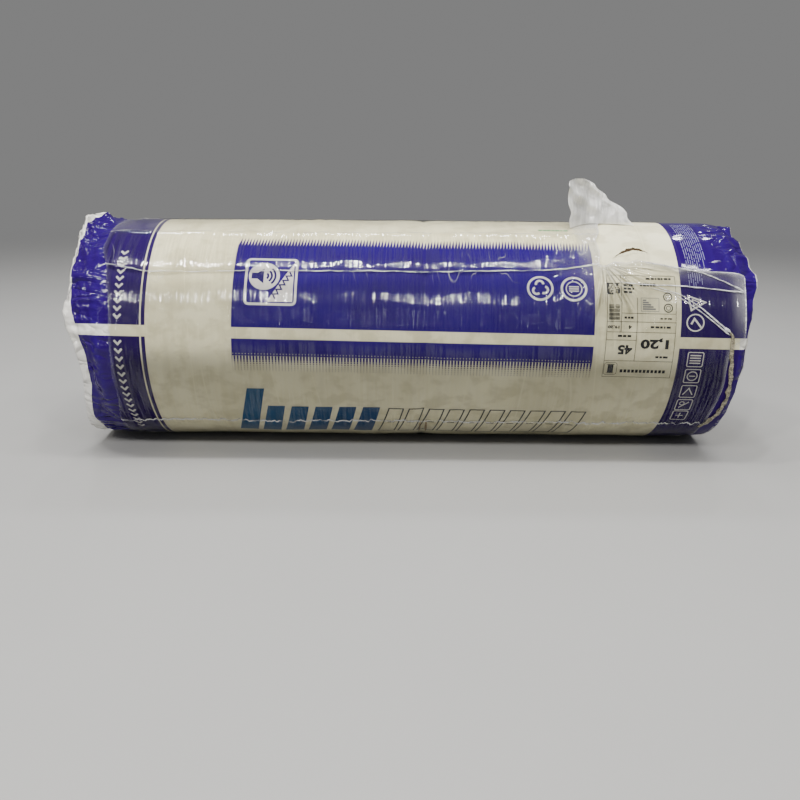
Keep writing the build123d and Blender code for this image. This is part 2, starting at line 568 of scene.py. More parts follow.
def crinkle_group():
    """Sharp creases of crumpled film, as a height in metres."""
    nodes, given, result = new_group(
        "crinkles",
        [
            ("Place", "NodeSocketVector", None),
            ("Scale", "NodeSocketFloat", 40.0),
            ("Depth", "NodeSocketFloat", 0.001),
        ],
        [("Height", "NodeSocketFloat")],
    )
    total = None
    for times, share in ((1.0, 0.80), (2.3, 0.20)):
        scaled = nodes.add("ShaderNodeVectorMath", operation="SCALE")
        nodes.feed(scaled.inputs[0], given.outputs["Place"])
        nodes.feed(scaled.inputs["Scale"], nodes.math("MULTIPLY", given.outputs["Scale"], times))
        waves = nodes.noise(scaled.outputs[0], 1.0, 0.0, 0.5, 0.9)
        ridge = nodes.math("ABSOLUTE", nodes.math("MULTIPLY_ADD", waves, 2.0, -1.0))
        part = nodes.math("MULTIPLY", ridge, share / times)
        total = part if total is None else nodes.math("ADD", total, part)
    nodes.feed(result.inputs["Height"], nodes.math("MULTIPLY", total, given.outputs["Depth"]))
    return nodes.tree


def fan_wrinkle_group():
    """Wrinkles that spread from the place where the tear starts, as a height, and streaks along them
    that are painted glints.
    """
    nodes, given, result = new_group(
        "fan_wrinkles",
        [("Place", "NodeSocketVector", None), ("Depth", "NodeSocketFloat", 0.42)],
        [("Height", "NodeSocketFloat"), ("Streaks", "NodeSocketFloat")],
    )
    away = nodes.add("ShaderNodeVectorMath", operation="SUBTRACT")
    nodes.feed(away.inputs[0], given.outputs["Place"])
    away.inputs[1].default_value = FAN_CENTRE
    split = nodes.add("ShaderNodeSeparateXYZ")
    nodes.feed(split.inputs[0], away.outputs[0])
    reach = nodes.add("ShaderNodeVectorMath", operation="LENGTH")
    nodes.feed(reach.inputs[0], away.outputs[0])
    bearing = nodes.math("ARCTAN2", split.outputs[1], split.outputs[0])
    polar = nodes.add("ShaderNodeCombineXYZ")
    nodes.feed(polar.inputs[0], nodes.math("MULTIPLY", bearing, 7.0))
    nodes.feed(polar.inputs[1], nodes.math("MULTIPLY", reach.outputs["Value"], 9.0))
    rays = nodes.noise(polar.outputs[0], 1.0, 1.5, 0.5, 0.0)
    sector = nodes.curve(nodes.away(bearing, 0.75), 1.5, 0.9, 0.25, 1.0)
    near = nodes.math("MULTIPLY", nodes.curve(reach.outputs["Value"], 0.15, 0.03), sector)
    spread = nodes.math("MULTIPLY", reach.outputs["Value"], near)
    height = nodes.math("MULTIPLY", nodes.math("MULTIPLY", rays, spread), given.outputs["Depth"])
    nodes.feed(result.inputs["Height"], height)
    # Streaks on the highest rays: painted glints
    streaks = nodes.curve(rays, 0.56, 0.72)
    nodes.feed(result.inputs["Streaks"], nodes.math("MULTIPLY", streaks, near))
    return nodes.tree


def print_group():
    """The print on the film: bands, panel, comb and fringe, as an ink mask."""
    nodes, given, result = new_group(
        "film_print",
        [("Place", "NodeSocketVector", None)],
        [("Ink", "NodeSocketFloat")],
    )
    split = nodes.add("ShaderNodeSeparateXYZ")
    nodes.feed(split.inputs[0], given.outputs["Place"])
    along = split.outputs[0]
    round_place = nodes.math("MULTIPLY_ADD", along, -PRINT_SKEW, split.outputs[1])

    # The design repeats twice round the film
    half_turn = math.pi * PRINT_RADIUS
    shifted = nodes.math("SUBTRACT", round_place, REPEAT_START)
    wrapped = nodes.math("FLOORED_MODULO", shifted, half_turn)
    down = nodes.math("ADD", wrapped, REPEAT_START)

    soft = INK_EDGE
    # The print stands square to its own slope, but for the band at the left
    square = nodes.math("MULTIPLY_ADD", round_place, PRINT_SKEW, -PRINT_SKEW * PRINT_MIDDLE)
    level = nodes.math("ADD", along, square)
    stripe = nodes.band(down, PANEL_FOOT, STRIP_TOP, soft)
    not_stripe = nodes.math("SUBTRACT", 1.0, stripe)
    wobble = nodes.noise(nodes.stretched(given.outputs["Place"], (0.0, 9.0, 1.0)), 1.0)
    edged = nodes.math("ADD", along, nodes.math("MULTIPLY_ADD", wobble, 0.006, -0.003))
    bands = nodes.math(
        "MAXIMUM",
        nodes.band(along, BAND_LEFT_OUTER + 0.02, BAND_LEFT, soft),
        nodes.band(edged, BAND_LEFT_OUTER, BAND_LEFT_OUTER + 0.04, soft),
    )
    right_inner = nodes.band(level, BAND_RIGHT, BAND_RIGHT_OUTER - 0.03, soft)
    right_outer = nodes.band(edged, BAND_RIGHT_OUTER - 0.06, BAND_RIGHT_OUTER, soft)
    bands = nodes.math("MAXIMUM", bands, nodes.math("MAXIMUM", right_inner, right_outer))
    line = nodes.band(along, LINE_LEFT, LINE_RIGHT, soft)
    bands = nodes.math("MULTIPLY", nodes.math("MAXIMUM", bands, line), not_stripe)

    across = nodes.band(level, PANEL_LEFT, PANEL_RIGHT, soft)
    # The comb: slanted teeth along the panel's upper edge, with wedges between them
    rise = nodes.math("DIVIDE", nodes.math("SUBTRACT", down, PANEL_TOP), COMB_HEIGHT, clamp=True)
    leaned = nodes.math("MULTIPLY_ADD", rise, COMB_LEAN, nodes.math("DIVIDE", level, COMB_PITCH))
    saw = nodes.math("ABSOLUTE", nodes.math("MULTIPLY_ADD", nodes.math("FRACT", leaned), 2.0, -1.0))
    tooth = nodes.math("MULTIPLY_ADD", rise, 1.05, 0.05)
    comb = nodes.curve(nodes.math("SUBTRACT", tooth, saw), -0.05, 0.05)
    panel = nodes.math("MULTIPLY", nodes.band(down, PANEL_TOP, PANEL_FOOT, soft), comb)

    # The fringe: rows of dots that shrink away from the lower strip, and one row
    # of pinholes in the strip itself
    strip = nodes.band(down, STRIP_TOP, STRIP_FOOT, soft)
    rows = nodes.math("DIVIDE", nodes.math("SUBTRACT", down, STRIP_FOOT), FRINGE_PITCH)
    column = nodes.math("FRACT", nodes.math("DIVIDE", level, COMB_PITCH))
    from_column = nodes.math("MULTIPLY", nodes.away(column, 0.5), COMB_PITCH)
    from_row = nodes.math("MULTIPLY", nodes.away(nodes.math("FRACT", rows), 0.5), FRINGE_PITCH)
    row = nodes.math("FLOOR", rows)
    half_width = nodes.math("MULTIPLY_ADD", row, -DOT_WIDTH_LOSS, DOT_WIDTH)
    half_height = nodes.math("MULTIPLY_ADD", row, -DOT_HEIGHT_LOSS, DOT_HEIGHT)
    half_height = nodes.math("MAXIMUM", half_height, DOT_LEAST_HEIGHT)
    inside_width = nodes.math("SUBTRACT", half_width, from_column)
    inside_dot = nodes.math("MINIMUM", inside_width, nodes.math("SUBTRACT", half_height, from_row))
    dots = nodes.curve(inside_dot, -0.0002, 0.0002)
    fringe_foot = STRIP_FOOT + FRINGE_ROWS * FRINGE_PITCH
    fringe = nodes.math("MULTIPLY", nodes.band(down, STRIP_FOOT, fringe_foot, soft), dots)
    pinhole_row = nodes.band(down, PINHOLES_TOP, PINHOLES_FOOT, 0.0002)
    pinholes = nodes.math("MULTIPLY", pinhole_row, nodes.curve(from_column, 0.0020, 0.0026))
    strip = nodes.math("SUBTRACT", strip, nodes.math("MULTIPLY", pinholes, 0.8))
    blocks = nodes.math("MAXIMUM", nodes.math("MAXIMUM", panel, strip), fringe)
    ink = nodes.math("MAXIMUM", nodes.math("MULTIPLY", blocks, across), bands)
    nodes.feed(result.inputs["Ink"], ink)
    return nodes.tree


def group_node(nodes, tree, **values):
    """Use a shader group; an underscore in a value's name stands for a space."""
    node = nodes.add("ShaderNodeGroup", node_tree=tree)
    for key, value in values.items():
        nodes.feed(node.inputs[key.replace("_", " ")], value)
    return node


def new_material(name):
    """An empty material, a way to place its nodes, and its output."""
    material = bpy.data.materials.new(name)
    material.use_nodes = True
    tree = material.node_tree
    tree.nodes.clear()
    nodes = Nodes(tree)
    output = nodes.add("ShaderNodeOutputMaterial")
    return material, nodes, output


def rgba(colour):
    """A colour with full opacity, as a colour socket takes it."""
    return tuple(colour) + (1.0,)


def film_place(nodes):
    """Metres along and round the flat film."""
    return nodes.add("ShaderNodeUVMap", uv_map="film").outputs[0]


def printed_film_material(name, style, collar):
    """White film with blue print, softly glossy; on the collars bare and crumpled."""
    material, nodes, output = new_material(name)
    place = film_place(nodes)
    art = group_node(nodes, bpy.data.node_groups["film_print"], Place=place)
    clouds = nodes.noise(nodes.stretched(place, (5.0, 7.0, 1.0)), 1.0, 2.0, 0.55, 0.5)
    streaks = nodes.noise(nodes.stretched(place, (40.0, 3.0, 1.0)), 1.0, 1.0, 0.6, 0.2)
    light, shade = rgba(style.film_light), rgba(style.film_shade)
    split = nodes.add("ShaderNodeSeparateXYZ")
    nodes.feed(split.inputs[0], place)
    from_middle = nodes.away(split.outputs[0], WOOL_MIDDLE)
    if collar:
        paper = nodes.mix(nodes.curve(clouds, 0.3, 0.8, 0.0, 0.3), rgba(style.rim), shade)
        paler = nodes.curve(streaks, 0.4, 0.8, 0.0, 0.5)
        blue = nodes.mix(paler, rgba(style.blue_bare), rgba(style.blue))
        relief_group = group_node(
            nodes, bpy.data.node_groups["crinkles"], Scale=20.0, Depth=0.0095,
            Place=nodes.stretched(place, (0.8, 1.3, 1.0)),
        )
    else:
        blotches = nodes.noise(nodes.stretched(place, (19.0, 24.0, 1.0)), 1.0, 3.0, 0.6, 0.25)
        hoops = nodes.noise(nodes.stretched(place, (13.0, 1.3, 1.0)), 1.0, 0.0, 0.5, 0.1)
        paper = nodes.mix(nodes.curve(clouds, 0.3, 0.72, 0.0, 0.40), light, shade)
        paper = nodes.mix(nodes.curve(blotches, 0.44, 0.62, 0.0, 0.52), paper, shade)
        paper = nodes.mix(nodes.curve(streaks, 0.52, 0.8, 0.0, 0.35), paper, shade)
        paper = nodes.mix(nodes.curve(nodes.away(hoops, 0.5), 0.012, 0.0, 0.0, 0.45), paper, light)
        blue = nodes.mix(nodes.curve(clouds, 0.3, 0.7), rgba(style.blue), rgba(style.blue_deep))
        blue = nodes.mix(nodes.curve(from_middle, 0.46, 0.48), blue, rgba(style.blue_band))
        relief_group = group_node(
            nodes, bpy.data.node_groups["hoop_wrinkles"], Place=place,
            Ribs=0.0006, Ribs_per_Metre=48.0, Fine=0.00005, Dents=0.0012,
        )
    shader = nodes.add("ShaderNodeBsdfPrincipled")
    nodes.feed(shader.inputs["Base Color"], nodes.mix(art.outputs["Ink"], paper, blue))
    shader.inputs["Specular IOR Level"].default_value = 0.22 if collar else 0.04
    rough = (0.07, 0.13) if collar else (0.26, 0.38)
    nodes.feed(shader.inputs["Roughness"], nodes.curve(clouds, 0.2, 0.8, *rough))
    relief = nodes.add("ShaderNodeBump")
    relief.inputs["Distance"].default_value = 1.0
    height = relief_group.outputs["Height"]
    if collar:
        height = nodes.math("MULTIPLY", height, nodes.curve(from_middle, 0.55, 0.60, 0.10, 1.0))
    nodes.feed(relief.inputs["Height"], height)
    nodes.feed(shader.inputs["Normal"], relief.outputs[0])
    nodes.feed(output.inputs[0], shader.outputs[0])
    return material


def mask_value(nodes, name):
    """The value that a piece's vertices keep under a name."""
    return nodes.add("ShaderNodeAttribute", attribute_name=name).outputs["Fac"]


def fold_ridge(nodes, place, fold):
    """The edge of the film's last turn: a thin line that wanders a little."""
    wander = nodes.noise(nodes.stretched(place, (30.0, 1.0, 1.0)), 1.0, 2.0, 0.6)
    off_fold = nodes.math("MULTIPLY_ADD", wander, 0.006, nodes.math("SUBTRACT", fold, 0.003))
    return nodes.curve(nodes.math("ABSOLUTE", off_fold), 0.0017, 0.0)


def seam_painted_highlights(nodes, place, broken, haze):
    """Add the jagged seam low on the front and the line along the pocket's top, as white haze that is
    a painted highlight for their glints.
    """
    jags = nodes.noise(nodes.stretched(place, (80.0, 1.0, 1.0)), 1.0, 2.0, 0.7)
    from_seam = mask_value(nodes, "seam")
    off_seam = nodes.math("MULTIPLY_ADD", jags, 0.036, nodes.math("SUBTRACT", from_seam, 0.018))
    seam = nodes.curve(nodes.math("ABSOLUTE", off_seam), 0.0030, 0.0008)
    # The seam's white line is a painted highlight
    haze = nodes.math("MULTIPLY_ADD", nodes.math("MULTIPLY", seam, broken), 1.5, haze)
    from_pocket = nodes.math("ADD", from_seam, POCKET_ABOVE_SEAM)
    off_pocket = nodes.math("MULTIPLY_ADD", jags, 0.014, from_pocket)
    # The line along the pocket's top is a painted highlight too
    pocket_line = nodes.curve(nodes.math("ABSOLUTE", off_pocket), 0.0018, 0.0004)
    return nodes.math("MULTIPLY_ADD", nodes.math("MULTIPLY", pocket_line, broken), 0.7, haze)


def fold_hairs(nodes, place, fold):
    """Hair-fine creases that cross the fold."""
    hairs = nodes.noise(nodes.stretched(place, (34.0, 9.0, 1.0)), 1.0, 0.0, 0.5, 0.4)
    hair = nodes.curve(nodes.away(hairs, 0.5), 0.010, 0.0)
    spread = nodes.noise(nodes.stretched(place, (11.0, 26.0, 1.0)), 1.0, 0.0, 0.5)
    patches = nodes.curve(spread, 0.46, 0.62, 0.0, 0.4)
    by_fold = nodes.curve(nodes.away(fold, -0.012), 0.045, 0.010)
    return nodes.math("MULTIPLY", nodes.math("MULTIPLY", hair, patches), by_fold)


def torn_film_relief(nodes, place, haze):
    """Height and haze of the frosted flap."""
    folds = group_node(
        nodes, bpy.data.node_groups["hoop_wrinkles"], Place=place,
        Ribs=0.0055, Ribs_per_Metre=60.0, Fine=0.0, Dents=0.0075,
    )
    mottle = nodes.noise(nodes.stretched(place, (46.0, 9.0, 1.0)), 1.0, 2.0, 0.6, 0.3)
    haze = nodes.math("MULTIPLY", haze, nodes.curve(mottle, 0.25, 0.75, 0.62, 1.28), clamp=True)
    return folds.outputs["Height"], haze


def wrap_film_relief(nodes, style, place, haze):
    """Height and haze of the film round the roll, with its fold, seam and creases. The haze added
    along the fold, seam, pocket top and fan streaks is painted highlight; on the fold it is partly
    real milky double film.
    """
    ribs, fold = mask_value(nodes, "ribs"), mask_value(nodes, "fold")
    wrinkles = group_node(
        nodes, bpy.data.node_groups["hoop_wrinkles"], Place=place,
        Ribs=nodes.math("MULTIPLY", ribs, style.rib_height), Ribs_per_Metre=style.ribs_per_metre,
        Fine=0.00022, Dents=style.dent_height,
    )
    fan = group_node(nodes, bpy.data.node_groups["fan_wrinkles"], Place=place)
    ridge = fold_ridge(nodes, place, fold)
    height = nodes.math("ADD", wrinkles.outputs["Height"], fan.outputs["Height"])
    height = nodes.math("MULTIPLY_ADD", ridge, 0.00025, height)
    gaps = nodes.noise(nodes.stretched(place, (30.0, 9.0, 1.0)), 1.0, 2.0, 0.6)
    broken = nodes.curve(gaps, 0.35, 0.6, 0.12, 0.75)
    # Haze along the fold's ridge: painted highlight for the folded edge's glints, partly real milky
    # double film
    haze = nodes.math("MULTIPLY_ADD", ridge, broken, haze)
    haze = seam_painted_highlights(nodes, place, broken, haze)
    haze = nodes.math("ADD", haze, fold_hairs(nodes, place, fold))
    # The fan's streaks whiten the haze: painted glints on the wrinkles
    haze = nodes.math("MULTIPLY_ADD", fan.outputs["Streaks"], 0.16, haze, clamp=True)
    mottle = nodes.noise(nodes.stretched(place, (18.0, 12.0, 1.0)), 1.0, 2.0, 0.65, 0.5)
    haze = nodes.math("MULTIPLY", haze, nodes.curve(mottle, 0.25, 0.8, 0.6, 1.5))
    return height, haze


# How rough the clear film's gloss is, and its strength between its dashes and on them
FILM_GLOSS = 0.07
DASH_GLOSS = (0.15, 2.1)


def dashed_gloss(nodes, place, mirrored):
    """Break the gloss into dashes, which fade where the film is seen at a grazing angle."""
    ribs = nodes.noise(nodes.stretched(place, (260.0, 10.0, 1.0)), 1.0, 1.0, 0.5)
    sparkle = nodes.curve(ribs, 0.40, 0.60, *DASH_GLOSS)
    grazing = nodes.curve(mirrored, 0.06, 0.14)
    faded = nodes.math("MULTIPLY", nodes.math("SUBTRACT", 1.0, sparkle), grazing)
    return nodes.math("MULTIPLY", mirrored, nodes.math("ADD", sparkle, faded), clamp=True)


def clear_film_material(name, style, torn):
    """Clear stretch film: see-through with haze, and a sharp wrinkled gloss. On the roll the haze also
    carries painted highlights and a painted reflection.
    """
    material, nodes, output = new_material(name)
    place = film_place(nodes)
    haze = mask_value(nodes, "haze")
    if torn:
        height, haze = torn_film_relief(nodes, place, haze)
        clear, shine = (0.97, 0.97, 0.97, 1.0), 1.6
    else:
        height, haze = wrap_film_relief(nodes, style, place, haze)
        front = mask_value(nodes, "front")
        clear = nodes.mix(front, (0.95, 0.95, 0.95, 1.0), rgba(style.tight_tint))
        shine = nodes.math("MULTIPLY_ADD", front, -0.20, 1.54)
    relief = nodes.add("ShaderNodeBump")
    relief.inputs["Distance"].default_value = 1.0
    nodes.feed(relief.inputs["Height"], height)

    veil = nodes.add("ShaderNodeBsdfDiffuse")
    veil.inputs["Color"].default_value = rgba(style.torn_haze if torn else style.clear_haze)
    nodes.feed(veil.inputs["Normal"], relief.outputs[0])
    through = nodes.add("ShaderNodeBsdfTransparent")
    nodes.feed(through.inputs["Color"], clear)
    gloss = nodes.add("ShaderNodeBsdfGlossy")
    gloss.inputs["Roughness"].default_value = FILM_GLOSS
    nodes.feed(gloss.inputs["Normal"], relief.outputs[0])
    fresnel = nodes.add("ShaderNodeFresnel")
    nodes.feed(fresnel.inputs["IOR"], shine)
    nodes.feed(fresnel.inputs["Normal"], relief.outputs[0])
    mirrored = fresnel.outputs[0] if torn else dashed_gloss(nodes, place, fresnel.outputs[0])
    hazy = nodes.add("ShaderNodeMixShader")
    nodes.feed(hazy.inputs[0], haze)
    nodes.feed(hazy.inputs[1], through.outputs[0])
    nodes.feed(hazy.inputs[2], veil.outputs[0])
    glossy = nodes.add("ShaderNodeMixShader")
    nodes.feed(glossy.inputs[0], mirrored)
    nodes.feed(glossy.inputs[1], hazy.outputs[0])
    nodes.feed(glossy.inputs[2], gloss.outputs[0])
    nodes.feed(output.inputs[0], glossy.outputs[0])
    return material


def thick_film_material(name, colour, solid):
    """Film that is drawn out or gathered, so that it is milky and streaked."""
    material, nodes, output = new_material(name)
    place = nodes.add("ShaderNodeTexCoord").outputs["Object"]
    streaks = nodes.noise(nodes.stretched(place, (60.0, 220.0, 220.0)), 1.0, 3.0, 0.6, 0.6)
    shader = nodes.add("ShaderNodeBsdfPrincipled")
    dark = rgba(0.55 * part for part in colour)
    streaked = nodes.mix(nodes.curve(streaks, 0.35, 0.62), dark, rgba(colour))
    nodes.feed(shader.inputs["Base Color"], streaked)
    shader.inputs["Roughness"].default_value = 0.2
    shader.inputs["IOR"].default_value = 1.6
    nodes.feed(shader.inputs["Alpha"], nodes.curve(streaks, 0.35, 0.65, 0.6 * solid, solid))
    nodes.feed(output.inputs[0], shader.outputs[0])
    return material


def glass_wool_material(style):
    """Brown glass wool: layered fibres that run round the winding."""
    material, nodes, output = new_material("glass_wool_finish")
    place = nodes.add("ShaderNodeTexCoord").outputs["Object"]
    split = nodes.add("ShaderNodeSeparateXYZ")
    nodes.feed(split.inputs[0], place)
    height = nodes.math("SUBTRACT", split.outputs[2], AXIS_Z)
    depth_squared = nodes.math("MULTIPLY", split.outputs[1], split.outputs[1])
    reach = nodes.math("SQRT", nodes.math("MULTIPLY_ADD", height, height, depth_squared))
    around = nodes.math("ARCTAN2", split.outputs[1], height)
    polar = nodes.add("ShaderNodeCombineXYZ")
    nodes.feed(polar.inputs[0], reach)
    nodes.feed(polar.inputs[1], nodes.math("MULTIPLY", around, 0.12))
    nodes.feed(polar.inputs[2], split.outputs[0])
    layers = nodes.noise(nodes.stretched(polar.outputs[0], (1100.0, 30.0, 90.0)), 1.0, 4.0, 0.7, 1.2)
    tufts = nodes.noise(place, 140.0, 5.0, 0.75, 0.8)
    fibres = nodes.noise(place, 1300.0, 3.0, 0.75, 3.0)
    colour = nodes.mix(
        nodes.curve(layers, 0.35, 0.68), rgba(style.wool_dark), rgba(style.wool_light)
    )
    colour = nodes.mix(nodes.curve(tufts, 0.45, 0.75, 0.0, 0.6), colour, rgba(style.wool_pale))
    colour = nodes.mix(nodes.curve(fibres, 0.55, 0.8, 0.0, 0.5), colour, rgba(style.wool_pale))
    shader = nodes.add("ShaderNodeBsdfPrincipled")
    nodes.feed(shader.inputs["Base Color"], colour)
    shader.inputs["Roughness"].default_value = 0.95
    shader.inputs["Specular IOR Level"].default_value = 0.15
    shader.inputs["Sheen Weight"].default_value = 0.25
    relief = nodes.add("ShaderNodeBump")
    relief.inputs["Distance"].default_value = 1.0
    lift = nodes.math("MULTIPLY", layers, 0.0009)
    lift = nodes.math("MULTIPLY_ADD", tufts, 0.0016, lift)
    nodes.feed(relief.inputs["Height"], nodes.math("MULTIPLY_ADD", fibres, 0.0010, lift))
    nodes.feed(shader.inputs["Normal"], relief.outputs[0])
    nodes.feed(output.inputs[0], shader.outputs[0])
    return material


def ink_material(name, colour, far_colour=None):
    """Printed ink with slight wear; it may blend to a second colour along the film."""
    material, nodes, output = new_material(name)
    place = nodes.add("ShaderNodeTexCoord").outputs["Object"]
    wear = nodes.noise(place, 160.0, 3.0, 0.7, 0.5)
    shader = nodes.add("ShaderNodeBsdfPrincipled")
    worn = tuple(0.85 * part + 0.04 for part in colour)
    ink = rgba(colour)
    if far_colour:
        split = nodes.add("ShaderNodeSeparateXYZ")
        nodes.feed(split.inputs[0], place)
        ink = nodes.mix(nodes.curve(split.outputs[0], *BLEND_SPAN), ink, rgba(far_colour))
    mixed = nodes.mix(nodes.curve(wear, 0.58, 0.8, 0.0, 0.2), ink, rgba(worn))
    nodes.feed(shader.inputs["Base Color"], mixed)
    nodes.feed(shader.inputs["Roughness"], nodes.curve(wear, 0.3, 0.7, 0.3, 0.45))
    shader.inputs["Specular IOR Level"].default_value = 0.10
    nodes.feed(output.inputs[0], shader.outputs[0])
    return material


def floor_material(style):
    """A pale floor that runs out into the colour of the surround."""
    material, nodes, output = new_material("pale_floor")
    place = nodes.add("ShaderNodeTexCoord").outputs["Object"]
    speckle = nodes.noise(place, 3.0, 5.0, 0.6, 0.2)
    low = rgba(0.94 * part for part in style.floor)
    shader = nodes.add("ShaderNodeBsdfPrincipled")
    nodes.feed(shader.inputs["Base Color"], nodes.mix(speckle, low, rgba(style.floor)))
    shader.inputs["Roughness"].default_value = 0.6
    reach = nodes.add("ShaderNodeVectorMath", operation="LENGTH")
    nodes.feed(reach.inputs[0], place)
    surround = nodes.add("ShaderNodeEmission")
    surround.inputs["Color"].default_value = (1.0, 1.0, 1.0, 1.0)
    surround.inputs["Strength"].default_value = SURROUND
    fade = nodes.add("ShaderNodeMixShader")
    nodes.feed(fade.inputs[0], nodes.curve(reach.outputs["Value"], 1.6, 6.5))
    nodes.feed(fade.inputs[1], shader.outputs[0])
    nodes.feed(fade.inputs[2], surround.outputs[0])
    nodes.feed(output.inputs[0], fade.outputs[0])
    return material


# Settings that a user would change

class RollWoolSettings(bpy.types.PropertyGroup):
    """The wound mats"""

    turns: IntProperty(name="Turns", description="Turns that show on each end", default=21, min=3)
    crown: FloatProperty(
        name="Turn crown", description="How far each turn bulges on the ends",
        default=0.0032, unit="LENGTH",
    )


class RollFilmSettings(bpy.types.PropertyGroup):
    """The printed film"""

    columns: IntProperty(name="Columns", description="Faces along the film", default=186, min=20)
    rows: IntProperty(name="Rows", description="Faces round the film", default=234, min=20)
    thickness: FloatProperty(
        name="Thickness", description="Thickness of the film's wall", default=0.0006, unit="LENGTH"
    )


class RollWrapSettings(bpy.types.PropertyGroup):
    """The clear film"""

    columns: IntProperty(name="Columns", description="Faces along the clear film", default=260, min=20)
    rows: IntProperty(name="Rows", description="Faces round the clear film", default=300, min=20)


class RollFinishSettings(bpy.types.PropertyGroup):
    """Colours and wrinkles"""

    film_light: FloatVectorProperty(
        name="Film", description="White film where it is clean",
        subtype="COLOR", default=(0.80, 0.765, 0.55),
    )
    film_shade: FloatVectorProperty(
        name="Film shade", description="White film where the wool shows through",
        subtype="COLOR", default=(0.54, 0.505, 0.325),
    )
    blue: FloatVectorProperty(
        name="Blue", description="Printed blue", subtype="COLOR", default=(0.024, 0.005, 0.165)
    )
    blue_deep: FloatVectorProperty(
        name="Deep blue", description="Printed blue where it lies tight",
        subtype="COLOR", default=(0.022, 0.005, 0.125),
    )
    blue_band: FloatVectorProperty(
        name="Band blue", description="Printed blue of the bands at both ends",
        subtype="COLOR", default=(0.020, 0.005, 0.085),
    )
    blue_bare: FloatVectorProperty(
        name="Bare blue", description="Printed blue on the collars",
        subtype="COLOR", default=(0.016, 0.001, 0.088),
    )
    teal: FloatVectorProperty(
        name="Teal", description="The blocks along the foot",
        subtype="COLOR", default=(0.018, 0.085, 0.19),
    )
    teal_far: FloatVectorProperty(
        name="Far teal", description="The blocks at their right end", subtype="COLOR",
        default=(0.017, 0.062, 0.160),
    )
    wool_dark: FloatVectorProperty(
        name="Wool dark", description="Wool between its layers",
        subtype="COLOR", default=(0.21, 0.125, 0.042),
    )
    wool_light: FloatVectorProperty(
        name="Wool", description="Wool on its layers", subtype="COLOR", default=(0.43, 0.28, 0.105)
    )
    wool_pale: FloatVectorProperty(
        name="Wool pale", description="Loose fibres", subtype="COLOR", default=(0.58, 0.42, 0.20)
    )
    clear_haze: FloatVectorProperty(
        name="Haze", description="Haze of the clear film", subtype="COLOR", default=(0.66, 0.66, 0.66)
    )
    torn_haze: FloatVectorProperty(
        name="Torn haze", description="Frosted film of the flap",
        subtype="COLOR", default=(0.90, 0.90, 0.87),
    )
    rib_height: FloatProperty(
        name="Ribs", description="Height of the clear film's ribs", default=0.0009, unit="LENGTH"
    )
    ribs_per_metre: FloatProperty(
        name="Ribs per metre", description="How close the clear film's ribs lie", default=210.0
    )
    dent_height: FloatProperty(
        name="Dents", description="Height of the clear film's dents", default=0.0012, unit="LENGTH"
    )
    tight_tint: FloatVectorProperty(
        name="Tight film", description="What the tight film lets through", subtype="COLOR",
        default=(0.94, 0.94, 0.94),
    )
    rim: FloatVectorProperty(
        name="Rim", description="White margin of the film", subtype="COLOR", default=(0.70, 0.69, 0.66)
    )
    floor: FloatVectorProperty(
        name="Floor", description="The pale floor", subtype="COLOR", default=(0.33, 0.33, 0.325)
    )


class ROLL_OT_finishes(bpy.types.Operator):
    """Make the shader groups and the materials"""

    bl_idname = "roll.finishes"
    bl_label = "Finishes"

    def execute(self, context):
        style = context.scene.roll_finish
        hoop_wrinkle_group()
        crinkle_group()
        fan_wrinkle_group()
        print_group()
        printed_film_material("printed_film_finish", style, False)
        printed_film_material("printed_collar_finish", style, True)
        clear_film_material("clear_film_finish", style, False)
        clear_film_material("torn_film_finish", style, True)
        glass_wool_material(style)
        thick_film_material("stretched_film", (0.78, 0.79, 0.80), 0.75)
        thick_film_material("gathered_film", (0.30, 0.27, 0.19), 0.95)
        ink_material("black_ink", (0.02, 0.02, 0.022))
        ink_material("white_ink", (0.66, 0.64, 0.60))
        ink_material("teal_ink", tuple(style.teal), tuple(style.teal_far))
        ink_material("grey_ink", (0.22, 0.22, 0.21))
        ink_material("outline_ink", (0.045, 0.050, 0.060))
        ink_material("green_ink", (0.10, 0.36, 0.14))
        ink_material("film_lip", tuple(style.film_light))
        ink_material("blue_ink", tuple(0.6 * part for part in style.blue))
        ink_material("fine_ink", (0.21, 0.21, 0.36))
        # Wool in the slit, much darker than the wool: painted shade of the slit's hollow
        ink_material("painted_shade_slit_wool", (0.055, 0.034, 0.016))
        floor_material(style)
        return {"FINISHED"}


# How the printed film's columns are spread: (share, place). And the degrees
# between which the clear film leaves its right end bare.
FILM_STATIONS = (
    (0.0, FILM_LEFT), (0.20, WOOL_LEFT), (0.235, WOOL_LEFT + 0.03), (0.55, WOOL_MIDDLE - 0.02),
    (0.605, WOOL_MIDDLE + 0.02), (0.88, WOOL_RIGHT - 0.03), (0.92, WOOL_RIGHT), (1.0, FILM_RIGHT),
)
OPENED_FROM, OPENED_TO = -34.0, 48.0


class ROLL_OT_film(bpy.types.Operator):
    """Wind the printed film round the wool, with its lap and its crumpled collars"""

    bl_idname = "roll.film"
    bl_label = "Printed film"

    def execute(self, context):
        sizes = context.scene.roll_film
        sheet = flat_sheet(sizes.columns, sizes.rows)
        film = finished("printed_film", sheet, bpy.data.materials["printed_film_finish"])
        mesh = film.data
        across, up = flat_places(mesh)
        along = warped_stations(across, FILM_STATIONS)
        angle = LAP_START + up * (TURN + LAP)
        map_sheet(mesh, along, angle * PRINT_RADIUS)
        x, radius = film_surface(along, angle)
        move_vertices(mesh, place_on_axis(x, radius, angle))
        face_outwards(mesh)
        finish_collars(mesh, along, np.degrees(turned_angle(angle)))
        wall = film.modifiers.new("wall", "SOLIDIFY")
        wall.thickness = sizes.thickness
        wall.offset = -1.0
        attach(film, "root")
        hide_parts("film_sleeve")
        return {"FINISHED"}


